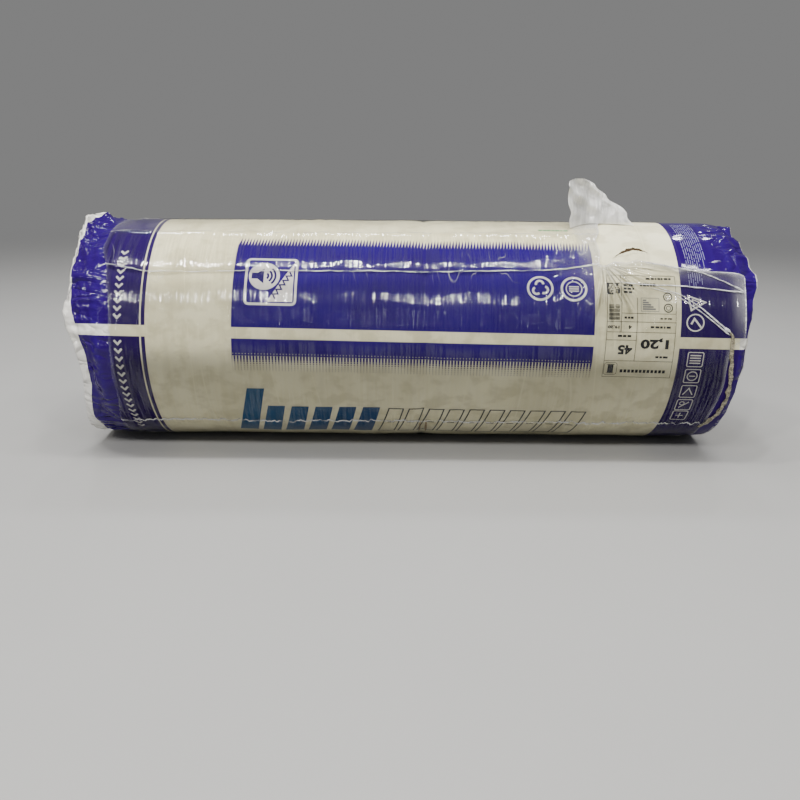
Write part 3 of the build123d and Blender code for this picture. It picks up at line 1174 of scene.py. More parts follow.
def finish_collars(mesh, along, degrees):
    """Give the printed film a second finish past its wool and its clear film."""
    mesh.materials.append(bpy.data.materials["printed_collar_finish"])
    opened = (degrees > OPENED_FROM) & (degrees < OPENED_TO)
    bare_left = WRAP_LEFT - profile(degrees, LEFT_EDGE)
    bare_right = np.where(opened, BAND_RIGHT + 0.004, WOOL_RIGHT + 0.004)
    for face in mesh.polygons:
        corner = face.vertices[0]
        covered = bare_left[corner] < along[corner] < bare_right[corner]
        face.material_index = 0 if covered else 1


def face_outwards(mesh):
    """Flip a whole sheet round the roll if its faces point at the axis."""
    face = mesh.polygons[len(mesh.polygons) // 2]
    outward = Vector((0.0, face.center.y, face.center.z - AXIS_Z))
    if face.normal.dot(outward) < 0:
        mesh.flip_normals()


class FlatPrint:
    """Shapes printed flat in X and skewed round-place, then laid on the film."""

    def __init__(self):
        self.shape = bmesh.new()

    def polygon(self, places):
        """One filled shape."""
        corners = [self.shape.verts.new((x, around, 0.0)) for x, around in places]
        self.shape.faces.new(corners)

    def bar(self, left, right, top, foot):
        """A filled box."""
        self.polygon([(left, top), (right, top), (right, foot), (left, foot)])

    def stroke(self, places, width, closed=False):
        """A line of even width along the places, with mitred corners."""
        line = np.array(places, dtype=float)
        count = len(line)
        sides = []
        for k in range(count):
            before = line[k] - line[k - 1] if closed or k > 0 else line[1] - line[0]
            after = line[(k + 1) % count] - line[k] if closed or k < count - 1 else before
            before = before / np.linalg.norm(before)
            after = after / np.linalg.norm(after)
            normal = np.array([-before[1] - after[1], before[0] + after[0]])
            normal /= max(np.linalg.norm(normal), 1e-9)
            lean = max(0.5, float(normal @ np.array([-after[1], after[0]])))
            offset = normal * width / 2 / lean
            sides.append((line[k] - offset, line[k] + offset))
        pairs = list(zip(sides, sides[1:] + sides[:1] if closed else sides[1:]))
        for (inner, outer), (next_inner, next_outer) in pairs:
            self.polygon([inner, outer, next_outer, next_inner])

    def ring(self, centre, reach, width, start=0.0, end=TURN, steps=36):
        """A ring, or a part of one."""
        full = abs(end - start) > TURN - 0.01
        count = steps if full else max(4, int(steps * abs(end - start) / TURN) + 1)
        turns = np.linspace(start, end, count, endpoint=not full)
        places = [(centre[0] + reach * math.cos(t), centre[1] + reach * math.sin(t)) for t in turns]
        self.stroke(places, width, closed=full)

    def disc(self, centre, reach, steps=28):
        """A filled round."""
        x, around = centre
        turns = [TURN * k / steps for k in range(steps)]
        self.polygon([(x + reach * math.cos(t), around + reach * math.sin(t)) for t in turns])

    def rounded_box(self, left, right, top, foot, corner, width):
        """The outline of a box with round corners."""
        places = []
        for x, around, start in (
            (right - corner, foot - corner, 0.0), (left + corner, foot - corner, 0.25),
            (left + corner, top + corner, 0.5), (right - corner, top + corner, 0.75),
        ):
            for k in range(5):
                turn = TURN * (start + k / 16)
                places.append((x + corner * math.cos(turn), around + corner * math.sin(turn)))
        self.stroke(places, width, closed=True)

    def figures(self, words, left, right, top, foot):
        """Plain figures that stand on their heads in the given box, as the print does."""
        curve = bpy.data.curves.new("figures", "FONT")
        curve.body = words
        curve.resolution_u = 3
        curve.offset = 0.045
        letters = bpy.data.objects.new("figures", curve)
        mesh = bpy.data.meshes.new_from_object(letters)
        part = bmesh.new()
        part.from_mesh(mesh)
        low = [min(vert.co[k] for vert in part.verts) for k in range(2)]
        high = [max(vert.co[k] for vert in part.verts) for k in range(2)]
        new = {}
        for vert in part.verts:
            x = right - (vert.co.x - low[0]) / (high[0] - low[0]) * (right - left)
            around = top + (vert.co.y - low[1]) / (high[1] - low[1]) * (foot - top)
            new[vert] = self.shape.verts.new((x, around, 0.0))
        for face in part.faces:
            self.shape.faces.new([new[vert] for vert in face.verts])
        part.free()
        bpy.data.objects.remove(letters)
        bpy.data.curves.remove(curve)
        bpy.data.meshes.remove(mesh)

    def small_lines(self, left, right, top, foot, rows, seed, share):
        """Rows of short dashes of uneven length."""
        draw = np.random.default_rng(seed)
        pitch = (foot - top) / rows
        for row in range(rows):
            at = left
            while at < right - 0.002:
                reach = min(draw.uniform(0.003, 0.009), right - at)
                self.bar(at, at + reach, top + row * pitch, top + (row + share) * pitch)
                at += reach + draw.uniform(0.0012, 0.0024)

    def lay(self, name, material, lift):
        """Cut the shapes fine enough to bend, then wrap them on the film."""
        shape = self.shape
        bmesh.ops.triangulate(shape, faces=shape.faces)
        for axis, step in enumerate(PRINT_CUTS):
            low = min(vert.co[axis] for vert in shape.verts)
            high = max(vert.co[axis] for vert in shape.verts)
            normal = (1, 0, 0) if axis == 0 else (0, 1, 0)
            for k in range(math.ceil(low / step), math.floor(high / step) + 1):
                place = (k * step, 0, 0) if axis == 0 else (0, k * step, 0)
                bmesh.ops.bisect_plane(
                    shape, geom=shape.verts[:] + shape.edges[:] + shape.faces[:], dist=1e-7,
                    plane_co=place, plane_no=normal,
                )
        piece = finished(name, shape, material)
        along, around = flat_places(piece.data)
        along += PRINT_SKEW * (PRINT_MIDDLE - around) * (along > BAND_LEFT)
        angle = (around + PRINT_SKEW * along) / PRINT_RADIUS
        x, radius = film_surface(along, angle)
        move_vertices(piece.data, place_on_axis(x, radius + lift, angle))
        turn_outwards(piece.data)
        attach(piece, "root")
        return piece


def turn_outwards(mesh):
    """Turn each face that points at the roll's axis."""
    shape = bmesh.new()
    shape.from_mesh(mesh)
    inward = []
    for face in shape.faces:
        centre = face.calc_center_median()
        if face.normal.dot(Vector((0.0, centre.y, centre.z - AXIS_Z))) < 0:
            inward.append(face)
    bmesh.ops.reverse_faces(shape, faces=inward)
    shape.to_mesh(mesh)
    shape.free()


# How far the blocks along the foot lean for each metre of height, how much of its
# pitch each one fills, how much taller the first is, and the width of the outlines
BLOCK_LEAN = 0.22
BLOCK_SHARE = 0.80
BLOCK_RISE = 0.045
BLOCK_LINE = 0.0028


def slanted_blocks(ink, left, right, top, foot, count, tall_first, outline):
    """A run of leaning blocks, filled or in outline, the first one tall if asked."""
    pitch = (right - left) / count
    for k in range(count):
        start = left + k * pitch
        end = start + pitch * BLOCK_SHARE
        head = top - (BLOCK_RISE if tall_first and k == 0 else 0.0)
        rise = BLOCK_LEAN * (foot - head)
        corners = [(start + rise, head), (end + rise - 0.004, head), (end, foot), (start, foot)]
        if outline:
            ink.stroke(corners, BLOCK_LINE, closed=True)
            middle = (head + foot) / 2
            bar = [(start + rise / 2 + 0.008, middle), (end + rise / 2 - 0.010, middle)]
            ink.stroke(bar, BLOCK_LINE)
        else:
            ink.polygon(corners)


# The label: its box, the lines that divide it, its plain figures, and its runs of
# fine dashes with the number of rows in each
LABEL_LEFT, LABEL_RIGHT = 0.376, 0.508
LABEL_TOP, LABEL_FOOT = 0.203, 0.408
LABEL_ROWS = (
    (0.4035, LABEL_RIGHT, 0.2805), (LABEL_LEFT, LABEL_RIGHT, 0.297), (LABEL_LEFT, LABEL_RIGHT, 0.317),
    (LABEL_LEFT, 0.434, 0.3325), (LABEL_LEFT, LABEL_RIGHT, 0.374),
)
LABEL_COLUMNS = ((0.4035, LABEL_TOP, 0.317), (0.434, 0.250, 0.374))
LABEL_FIGURES = (
    ("1,20", 0.443, 0.497, 0.327, 0.349), ("45", 0.400, 0.428, 0.342, 0.361),
    ("19,20", 0.3775, 0.4000, 0.3040, 0.3105), ("4", 0.4175, 0.4240, 0.3035, 0.3110),
)
LABEL_DASHES = (
    (0.452, 0.500, 0.2075, 0.2115, 1), (0.474, 0.501, 0.3630, 0.3670, 1),
    (0.460, 0.500, 0.3045, 0.3085, 1), (0.478, 0.500, 0.2885, 0.2912, 1),
    (0.398, 0.428, 0.3225, 0.3265, 1), (0.408, 0.428, 0.2225, 0.2435, 3),
    (0.440, 0.470, 0.2195, 0.2260, 1), (0.409, 0.428, 0.2870, 0.2910, 1),
)
FIRST_DASH_SEED = 5
HAIRLINE = 0.0008


def label_frame(ink):
    """The label's box and the lines that divide it."""
    corners = [
        (LABEL_LEFT, LABEL_TOP), (LABEL_RIGHT, LABEL_TOP),
        (LABEL_RIGHT, LABEL_FOOT), (LABEL_LEFT, LABEL_FOOT),
    ]
    ink.stroke(corners, HAIRLINE, closed=True)
    for left, right, around in LABEL_ROWS:
        ink.stroke([(left, around), (right, around)], HAIRLINE)
    for x, top, foot in LABEL_COLUMNS:
        ink.stroke([(x, top), (x, foot)], HAIRLINE)


def label_codes(ink):
    """A chequered square and a row of bars, both at random."""
    cell, left, top = 0.0022, 0.3765, 0.2200
    draw = np.random.default_rng(3)
    for row in range(11):
        for column in range(11):
            if draw.random() < 0.55 or row == 0 or column == 0:
                x, around = left + column * cell, top + row * cell
                ink.bar(x, x + cell, around, around + cell)
    for k in range(13):
        around = 0.2640 + k * 0.0024
        ink.bar(0.379, 0.400, around, around + (0.0016 if k % 3 else 0.0009))


def label_signs(ink):
    """Two rings, and the sign of a roll in a rounded box."""
    for centre in ((0.492, 0.247), (0.493, 0.269)):
        ink.ring(centre, 0.0078, 0.0020)
        ink.ring(centre, 0.0040, 0.0012)
    ink.rounded_box(0.3775, 0.4025, 0.3780, 0.4035, 0.0050, HAIRLINE)
    ink.bar(0.3845, 0.3955, 0.3825, 0.3990)
    ink.stroke([(0.3825, 0.3815), (0.3975, 0.3815)], 0.0012)
    ink.stroke([(0.3825, 0.4000), (0.3975, 0.4000)], 0.0012)


def print_label(ink):
    """The label: frame, plain figures, fine dashes, and generic codes and signs."""
    label_frame(ink)
    for words, left, right, top, foot in LABEL_FIGURES:
        ink.figures(words, left, right, top, foot)
    for k, (left, right, top, foot, rows) in enumerate(LABEL_DASHES):
        share = 1.0 if rows == 1 else 0.62
        ink.small_lines(left, right, top, foot, rows, FIRST_DASH_SEED + k, share)
    for k in range(12):
        ink.bar(0.4090 + k * 0.0075, 0.4143 + k * 0.0075, 0.3920, 0.3985)
    label_codes(ink)
    label_signs(ink)


def print_chart(ink):
    """The label's small grey chart."""
    ink.stroke([(0.441, 0.250), (0.475, 0.250), (0.475, 0.276), (0.441, 0.276)], HAIRLINE, closed=True)
    for k in range(5):
        ink.bar(0.444, 0.451 + k * 0.0045, 0.2530 + k * 0.0043, 0.2560 + k * 0.0043)


SOUND_CENTRE = (-0.2840, 0.2210)


def print_white(ink):
    """The white marks on the blue fields."""
    ink.rounded_box(-0.3190, -0.2225, 0.1820, 0.2790, 0.008, 0.0048)
    ink.disc(SOUND_CENTRE, 0.0300)
    ink.polygon([(-0.2275, 0.1905), (-0.2275, 0.2740), (-0.2760, 0.2740)])
    for centre in ((0.248, 0.234), (0.313, 0.234)):
        ink.ring(centre, 0.0235, 0.0042)
    for k in range(3):
        turn = TURN * k / 3 + 0.4
        middle = (0.248 + 0.0085 * math.cos(turn), 0.234 + 0.0085 * math.sin(turn))
        ink.ring(middle, 0.0070, 0.0044, turn - 1.7, turn + 1.7)
    ink.ring((0.313, 0.234), 0.0150, 0.0020)
    for k in range(3):
        around = 0.2285 + k * 0.0045
        ink.bar(0.3035, 0.3225, around, around + 0.0024)


# The two runs of chevrons on the left band, and how far apart they stand
CHEVRON_RUNS = ((0.165, 0.320), (0.355, 0.600))
CHEVRON_PITCH = 0.0155


def print_chevrons(ink):
    """The white chevrons on the left band."""
    for first, last in CHEVRON_RUNS:
        count = int((last - first) / CHEVRON_PITCH)
        for k in range(count):
            at = first + (last - first) * k / count
            ink.stroke([(-0.5690, at), (-0.5620, at + 0.0075), (-0.5550, at)], 0.0042)


def print_columns(ink):
    """Columns of fine dashes at the right."""
    draw = np.random.default_rng(17)
    for column in range(10):
        x = 0.5350 + column * 0.0042
        around = 0.020 + draw.uniform(0, 0.008)
        last = 0.215 - (0.05 if column > 6 else 0.0)
        while around < last:
            reach = draw.uniform(0.008, 0.026)
            ink.bar(x, x + 0.0012, around, around + reach)
            around += reach + draw.uniform(0.0022, 0.0050)


def print_signs(ink):
    """The white signs at the right, under the columns."""
    ink.stroke([(0.5310, 0.2440), (0.5640, 0.2560), (0.5370, 0.2720)], 0.0034, closed=True)
    ink.stroke([(0.5390, 0.2510), (0.5530, 0.2565), (0.5415, 0.2635)], 0.0018, closed=True)
    ink.ring((0.5450, 0.2960), 0.0160, 0.0026)
    ink.stroke([(0.5370, 0.2990), (0.5430, 0.2885), (0.5560, 0.3050)], 0.0036)
    for k, around in enumerate((0.368, 0.403, 0.439, 0.474, 0.507)):
        ink.rounded_box(0.5365, 0.5665, around - 0.0145, around + 0.0145, 0.0030, 0.0018)
        if k == 0:
            for row in range(4):
                ink.bar(0.5410, 0.5620, around - 0.0095 + row * 0.0052, around - 0.0070 + row * 0.0052)
        elif k == 1:
            ink.ring((0.5515, around), 0.0095, 0.0020)
            ink.stroke([(0.5455, around), (0.5575, around)], 0.0020)
        elif k == 2:
            feet = [(0.5420, around + 0.008), (0.5610, around + 0.008)]
            ink.stroke([feet[0], (0.5515, around - 0.008), feet[1]], 0.0022)
        elif k == 3:
            ink.stroke([(0.5430, around + 0.008), (0.5600, around - 0.008)], 0.0022)
            ink.ring((0.5470, around - 0.004), 0.0045, 0.0016)
        else:
            ink.stroke([(0.5440, around), (0.5590, around)], 0.0022)
            ink.stroke([(0.5515, around - 0.008), (0.5515, around + 0.008)], 0.0022)
    ink.small_lines(0.5275, 0.5290, 0.360, 0.520, 30, 19, 0.6)


def print_sound(ink):
    """The blue marks on the white sign: a sounding horn and the hatch of a section."""
    x, around = SOUND_CENTRE
    ink.polygon([
        (x - 0.0245, around - 0.0065), (x - 0.0130, around - 0.0065), (x - 0.0010, around - 0.0165),
        (x - 0.0010, around + 0.0165), (x - 0.0130, around + 0.0065), (x - 0.0245, around + 0.0065),
    ])
    for reach in (0.0075, 0.0145, 0.0215):
        ink.ring(SOUND_CENTRE, reach, 0.0042, -0.85, 0.85)
    hatch = []
    for k in range(12):
        middle = np.array([-0.2320 - 0.0030 * k, 0.2130 + 0.0048 * k])
        side = 0.0038 if k % 2 else -0.0038
        hatch.append((middle[0] + side, middle[1] + side * 0.6))
    ink.stroke(hatch, 0.0030)


# The slit in the bare film: X, degrees round, and half its width in metres; and
# how high over the film its wool and its lips lie
SLIT = (
    (0.3965, 41.0, 0.0003), (0.4060, 39.2, 0.0018), (0.4160, 37.5, 0.0036), (0.4280, 36.0, 0.0056),
    (0.4400, 35.2, 0.0044), (0.4500, 35.6, 0.0046), (0.4590, 36.3, 0.0024), (0.4680, 37.6, 0.0003),
)
SLIT_LIFT = 0.00025


def slit_sheet(name, material, rows):
    """A strip along the slit; each row is (share of the half width, lift, extra width)."""
    steps = 60
    shape = bmesh.new()
    line = np.array(SLIT)
    x = np.linspace(line[0, 0], line[-1, 0], steps)
    angle = np.radians(np.interp(x, line[:, 0], line[:, 1]))
    half = np.interp(x, line[:, 0], line[:, 2])
    tuft = ripples(191, 6, (60.0, 260.0), (0, 1))
    taper = np.sin(np.linspace(0, math.pi, steps)) ** 0.7
    rings = []
    for share, lift, extra in rows:
        offset = (share * half * (1 + 0.2 * tuft(x, 0.0)) + extra * taper) / PRINT_RADIUS
        surface_x, radius = film_surface(x, angle + offset)
        uneven = 1 + 0.35 * tuft(x + 0.7, share)
        raised = radius + SLIT_LIFT + lift * taper * uneven
        places = place_on_axis(surface_x, raised, angle + offset)
        rings.append([shape.verts.new(place) for place in places])
    for first, second in zip(rings, rings[1:]):
        for k in range(steps - 1):
            shape.faces.new((first[k], first[k + 1], second[k + 1], second[k]))
    piece = finished(name, shape, material)
    turn_outwards(piece.data)
    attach(piece, "root")
    return piece


def open_slit():
    """The slit: a tuft of wool between two torn, curled lips of the film. The tuft's dark brown is
    painted shade of the slit's hollow.
    """
    tuft = slit_sheet("slit_wool", bpy.data.materials["painted_shade_slit_wool"], (
        (-1.25, 0.0001, 0.0), (-0.8, 0.0009, 0.0), (-0.3, 0.0014, 0.0), (0.2, 0.0013, 0.0),
        (0.7, 0.0009, 0.0), (1.25, 0.0001, 0.0),
    ))
    for name, side in (("slit_lip_upper", -1), ("slit_lip_lower", 1)):
        lip = slit_sheet(name, bpy.data.materials["film_lip"], (
            (side * 0.85, 0.0026, 0.0), (side * 1.1, 0.0021, side * 0.0008),
            (side * 1.2, 0.0009, side * 0.0022), (side * 1.2, 0.0001, side * 0.0042),
        ))


class ROLL_OT_print(bpy.types.Operator):
    """Lay the small print on the film: label, marks, chevrons and blocks"""

    bl_idname = "roll.small_print"
    bl_label = "Small print"

    def execute(self, context):
        black = FlatPrint()
        print_label(black)
        black.lay("label_print", bpy.data.materials["black_ink"], PRINT_LIFT)
        grey = FlatPrint()
        print_chart(grey)
        grey.lay("label_chart", bpy.data.materials["grey_ink"], PRINT_LIFT)
        white = FlatPrint()
        print_white(white)
        print_chevrons(white)
        print_signs(white)
        white.lay("white_marks", bpy.data.materials["white_ink"], PRINT_LIFT)
        columns = FlatPrint()
        print_columns(columns)
        columns.lay("fine_columns", bpy.data.materials["fine_ink"], PRINT_LIFT)
        blue = FlatPrint()
        print_sound(blue)
        blue.lay("blue_marks", bpy.data.materials["blue_ink"], OVERPRINT_LIFT)
        teal = FlatPrint()
        slanted_blocks(teal, -0.352, -0.065, 0.497, 0.600, 6, True, False)
        teal.lay("leaning_blocks", bpy.data.materials["teal_ink"], PRINT_LIFT)
        outlines = FlatPrint()
        slanted_blocks(outlines, -0.060, 0.350, 0.500, 0.600, 10, False, True)
        outlines.lay("block_outlines", bpy.data.materials["outline_ink"], PRINT_LIFT)
        green = FlatPrint()
        green.small_lines(0.257, 0.318, 0.0655, 0.0715, 1, 21, 1.0)
        green.lay("green_marks", bpy.data.materials["green_ink"], PRINT_LIFT)
        open_slit()
        return {"FINISHED"}


class ROLL_OT_wrap(bpy.types.Operator):
    """Draw the clear film over the printed one, and tear it open at the upper right"""

    bl_idname = "roll.wrap"
    bl_label = "Clear film"

    def execute(self, context):
        sizes = context.scene.roll_wrap
        sheet = flat_sheet(sizes.columns, sizes.rows)
        wrap = finished("clear_wrap_film", sheet, bpy.data.materials["clear_film_finish"])
        mesh = wrap.data
        across, up = flat_places(mesh)
        angle = warped_stations(up, ROUND_STATIONS)
        degrees = np.degrees(turned_angle(angle))
        left = profile(degrees, LEFT_EDGE) + 0.0016 * EDGE_WAVES(0.0, angle)
        right = profile(degrees, RIGHT_EDGE) + 0.0016 * EDGE_WAVES(2.0, angle)
        share = warped_stations(across, LENGTH_STATIONS)
        along = (WRAP_LEFT - left) * (1 - share) + (WRAP_RIGHT + right) * share
        to_left = along - (WRAP_LEFT - left)
        to_right = WRAP_RIGHT + right - along
        write_mask(mesh, "rim", np.minimum(to_left, to_right))
        lay_flat(mesh, along, angle * PRINT_RADIUS)
        cut_opening(mesh)
        along, around = flat_places(mesh)
        angle = around / PRINT_RADIUS
        degrees = np.degrees(turned_angle(angle))
        gap = np.abs(tear_distance(along, around)[0])
        rim = read_mask(mesh, "rim")
        map_sheet(mesh, along, around)
        x, radius = wrap_surface(along, angle)
        radius += 0.0022 * bump(gap, 0.0, 0.006)
        move_vertices(mesh, place_on_axis(x, radius, angle))
        face_outwards(mesh)
        write_wrap_masks(mesh, along, degrees, drawn_haze_and_painted_glints(along, degrees, gap, rim))
        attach(wrap, "root")
        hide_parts("clear_wrap")
        torn_flap()
        strands()
        return {"FINISHED"}


def write_wrap_masks(mesh, along, degrees, drawn):
    """Keep the haze with the painted light it carries, the strength of the ribs, and the metres to the
    fold and the seam.
    """
    top, pocket, front = wrap_zones(along, degrees)
    haze = 0.006 * top + 0.004 * pocket + 0.006 * front
    # More haze over the top: partly the real hazier film that bridges it, partly painted reflection of
    # light from above
    haze += 0.054 * top * ease(degrees, -75, -25)
    write_mask(mesh, "haze", haze + drawn)
    write_mask(mesh, "ribs", 0.52 + 0.2 * pocket + 0.22 * (1 - ease(along, -0.30, -0.12)))
    write_mask(mesh, "front", front)
    write_mask(mesh, "fold", (degrees - fold_angle(along)) * METRES_PER_DEGREE)
    write_mask(mesh, "seam", (degrees - SEAM_ANGLE) * METRES_PER_DEGREE)


def drawn_haze_and_painted_glints(along, degrees, gap, rim):
    """Haze where the clear film is drawn out, torn or cut, and a patch of painted glints by the right
    end.
    """
    # Frosted to the left of the opening, up over the top
    frost = ease(along, 0.326, 0.338) * (1 - ease(along, 0.395, 0.43))
    frost *= ease(degrees, -12, 2) * (1 - ease(degrees, 36, 44))
    # Pale round the place where the tear starts; by the right end a patch that is partly real milky
    # film and partly painted glints
    start = np.hypot((along - 0.375) / 0.05, (degrees - 46.0) / 12.0)
    pale = 0.05 * np.exp(-start ** 2) + 0.16 * bump(along, 0.632, 0.012) * bump(degrees, 62, 14)
    torn_edge = 0.22 * bump(gap, 0.0, 0.004) + 0.10 * bump(gap, 0.0, 0.020)
    cut_edge = (0.04 + 0.16 * (along > 0)) * bump(rim, 0.0, 0.005)
    return 0.22 * frost + pale + torn_edge + cut_edge


# How the clear film's rows and columns are spread: (share, place)
ROUND_STATIONS = (
    (0.0, LAP_START), (0.16, math.radians(-45)), (0.86, math.radians(162)), (1.0, LAP_START + TURN),
)
LENGTH_STATIONS = ((0.0, 0.0), (0.10, 0.05), (0.68, 0.76), (1.0, 1.0))


def lay_flat(mesh, along, around):
    """Spread a sheet out flat, with metres along as X and metres round as Y."""
    move_vertices(mesh, np.stack([along, around, along * 0], axis=1))


def read_mask(mesh, name):
    """The value that each vertex keeps under a name."""
    values = np.empty(len(mesh.vertices), dtype=np.float32)
    mesh.attributes[name].data.foreach_get("value", values)
    return values.astype(float)


def cut_opening(mesh):
    """Drop the flat sheet's faces inside the opening and draw its edge along the tear."""
    along, around = flat_places(mesh)
    gap, nearest = tear_distance(along, around)
    shape = bmesh.new()
    shape.from_mesh(mesh)
    doomed = [face for face in shape.faces if all(gap[vert.index] < 0 for vert in face.verts)]
    for vert in shape.verts:
        if gap[vert.index] < 0:
            vert.co.x, vert.co.y = nearest[vert.index]
    bmesh.ops.delete(shape, geom=doomed, context="FACES")
    bmesh.ops.dissolve_degenerate(shape, dist=0.0002, edges=shape.edges)
    shape.to_mesh(mesh)
    shape.free()


# The torn flap: heights over the roll's top, with its left and right edges there
FLAP_EDGES = (
    (-0.030, 0.325, 0.458), (0.0, 0.3240, 0.450), (0.014, 0.3235, 0.436), (0.028, 0.3220, 0.420),
    (0.045, 0.3195, 0.405), (0.062, 0.3175, 0.390), (0.075, 0.3185, 0.378), (0.083, 0.3240, 0.367),
    (0.088, 0.3370, 0.358),
)
# The line it stands on: X, and depth in front of the roll's top
FLAP_LINE = (
    (0.322, 0.070), (0.330, 0.064), (0.350, 0.046), (0.373, 0.031), (0.417, 0.034),
    (0.450, 0.044), (0.480, 0.052),
)
FLAP_STEPS = 64
FLAP_TOP = 0.088
FLAP_CRUMPLE = creases(139, 7, (8.0, 18.0), (2, 5))
FLAP_WAVES = ripples(149, 7, (3.0, 9.0), (1, 4))
# How far up its UV map the flap starts, so that it shares no noise with the film
FLAP_MAP_START = 2.0


def flap_places(across, up):
    """Where the flap lies: X, depth in front of the roll's top, and height over it."""
    heights, lefts, rights = (np.array(column) for column in zip(*FLAP_EDGES))
    height = heights[0] + (FLAP_TOP - heights[0]) * up
    left = np.interp(height, heights, lefts) + 0.0016 * FLAP_WAVES(height * 4, 0.0)
    right = np.interp(height, heights, rights) + 0.0022 * FLAP_WAVES(height * 5 + 3, 0.0)
    x = left + (right - left) * across
    # Its foot stands on the roll all along
    depth = profile(x, FLAP_LINE)
    root = np.sqrt(np.maximum(WRAP_RADIUS ** 2 - depth ** 2, 0.0)) - WRAP_RADIUS + 0.0004
    height = root + (height - heights[0]) * (FLAP_TOP - root) / (FLAP_TOP - heights[0])
    # It leans, waves and crumples; its left edge curls, and its right one folds away
    risen = np.clip(height / FLAP_TOP, 0, 1)
    depth = depth - 0.020 * risen ** 1.5 + 0.006 * risen * FLAP_WAVES(x * 3, height * 40)
    depth += 0.0030 * ease(risen, 0.0, 0.25) * (FLAP_CRUMPLE(x * 5, height * 12) - 0.5)
    depth -= 0.008 * ease(across, 0.86, 1.0) * ease(risen, 0.05, 0.3)
    depth += 0.006 * bump(across, 0.0, 0.06) * ease(risen, 0.1, 0.5)
    return x, depth, height


def torn_flap():
    """The torn film that stands up beside the opening, crumpled and frosted."""
    sheet = flat_sheet(FLAP_STEPS, FLAP_STEPS)
    flap = finished("torn_flap", sheet, bpy.data.materials["torn_film_finish"])
    mesh = flap.data
    across, up = flat_places(mesh)
    x, depth, height = flap_places(across, up)
    map_sheet(mesh, x, height + FLAP_MAP_START)
    move_vertices(mesh, np.stack([x, -depth, AXIS_Z + WRAP_RADIUS + height], axis=1))
    risen = np.clip(height / FLAP_TOP, 0, 1)
    edge = np.minimum(across, 1 - across) * 0.12
    veil = 0.58 + 0.12 * risen + 0.20 * bump(edge, 0.0, 0.004) + 0.14 * bump(across, 0.88, 0.03)
    veil += 0.12 * bump(risen, 1.0, 0.06)
    write_mask(mesh, "haze", veil)
    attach(flap, "root")


# Stretched strands and gathered hems: places as X and degrees round, with radii
STRANDS = (
    (
        (0.444, 43.0, 0.0010), (0.508, 46.6, 0.0016), (0.566, 49.7, 0.0012),
        (0.606, 54.6, 0.0010), (0.642, 59.8, 0.0022),
    ),
    (
        (0.400, 55.0, 0.0008), (0.432, 56.0, 0.0010), (0.517, 56.9, 0.0013),
        (0.579, 58.3, 0.0011), (0.643, 60.2, 0.0018),
    ),
    (
        (0.470, 57.0, 0.0006), (0.519, 61.4, 0.0009), (0.559, 68.2, 0.0014),
        (0.584, 73.6, 0.0016), (0.614, 79.3, 0.0026),
    ),
    (
        (0.456, 57.5, 0.0005), (0.505, 60.8, 0.0007), (0.556, 69.6, 0.0010),
        (0.612, 80.4, 0.0015),
    ),
    (
        (0.519, 48.0, 0.0008), (0.575, 49.0, 0.0013), (0.620, 49.7, 0.0011),
        (0.645, 51.1, 0.0016),
    ),
    (
        (0.645, 51.1, 0.0014), (0.6435, 57.0, 0.0010), (0.642, 63.6, 0.0016),
        (0.6415, 79.6, 0.0010),
    ),
)
ROPE = (
    (0.611, 78.0, 0.0016), (0.6164, 80.6, 0.0030), (0.6176, 85.0, 0.0030),
    (0.6188, 90.7, 0.0036), (0.6210, 95.0, 0.0033), (0.6233, 99.7, 0.0037),
    (0.6262, 107.0, 0.0034), (0.6272, 112.9, 0.0033), (0.6240, 119.0, 0.0034),
    (0.6198, 124.2, 0.0033), (0.6100, 131.0, 0.0030), (0.5980, 137.0, 0.0018),
)


def smooth_line(places, steps):
    """Even places along a run of (X, degrees, radius), eased by a running mean."""
    rows = np.array(places, dtype=float)
    spans = np.hypot(np.diff(rows[:, 0]), np.diff(np.radians(rows[:, 1])) * PRINT_RADIUS)
    length = np.concatenate([[0.0], np.cumsum(spans)])
    at = np.linspace(0, length[-1], steps)
    line = np.stack([np.interp(at, length, rows[:, k]) for k in range(3)], axis=1)
    for _ in range(3):
        line[1:-1] = (line[:-2] + 2 * line[1:-1] + line[2:]) / 4
    return line, length[-1]


# How fast a tube's lobes turn along it, in radians a metre
TWIST = 160.0


def twisted_tube(shape, places, lift, sides, lobes, seed):
    """A tube along the film whose lobed section twists, added to a bmesh."""
    line, length = smooth_line(places, 14 * len(places))
    wave = ripples(seed, 5, (20.0, 60.0), (0, 2))
    angle = np.radians(line[:, 1])
    x, radius = wrap_surface(line[:, 0], angle)
    radius = radius + lift + line[:, 2] * 0.6
    centre = place_on_axis(x, radius, angle)
    outward = place_on_axis(np.zeros_like(x), np.ones_like(x), angle) - np.array([0, 0, AXIS_Z])
    tangent = np.gradient(centre, axis=0)
    tangent /= np.linalg.norm(tangent, axis=1)[:, None]
    sideways = np.cross(tangent, outward)
    sideways /= np.linalg.norm(sideways, axis=1)[:, None]
    rings = []
    travel = np.linspace(0, length, len(x))
    taper = np.clip(np.minimum(travel, length - travel) / 0.008, 0.08, 1)
    lobe_depth, flat = (0.28, 0.85) if lobes else (0.0, 0.62)
    for k in range(len(x)):
        ring = []
        for side in range(sides):
            turn = TURN * side / sides
            lobe = 1 + lobe_depth * math.cos(lobes * turn + travel[k] * TWIST)
            uneven = 1 + 0.18 * float(wave(travel[k], turn))
            reach = line[k, 2] * lobe * uneven * taper[k]
            across = math.cos(turn) * sideways[k] + flat * math.sin(turn) * outward[k]
            ring.append(shape.verts.new(centre[k] + reach * across))
        rings.append(ring)
    for first, second in zip(rings, rings[1:]):
        for side in range(sides):
            after = (side + 1) % sides
            shape.faces.new((first[side], first[after], second[after], second[side]))
    shape.faces.new(rings[0])
    shape.faces.new(rings[-1])


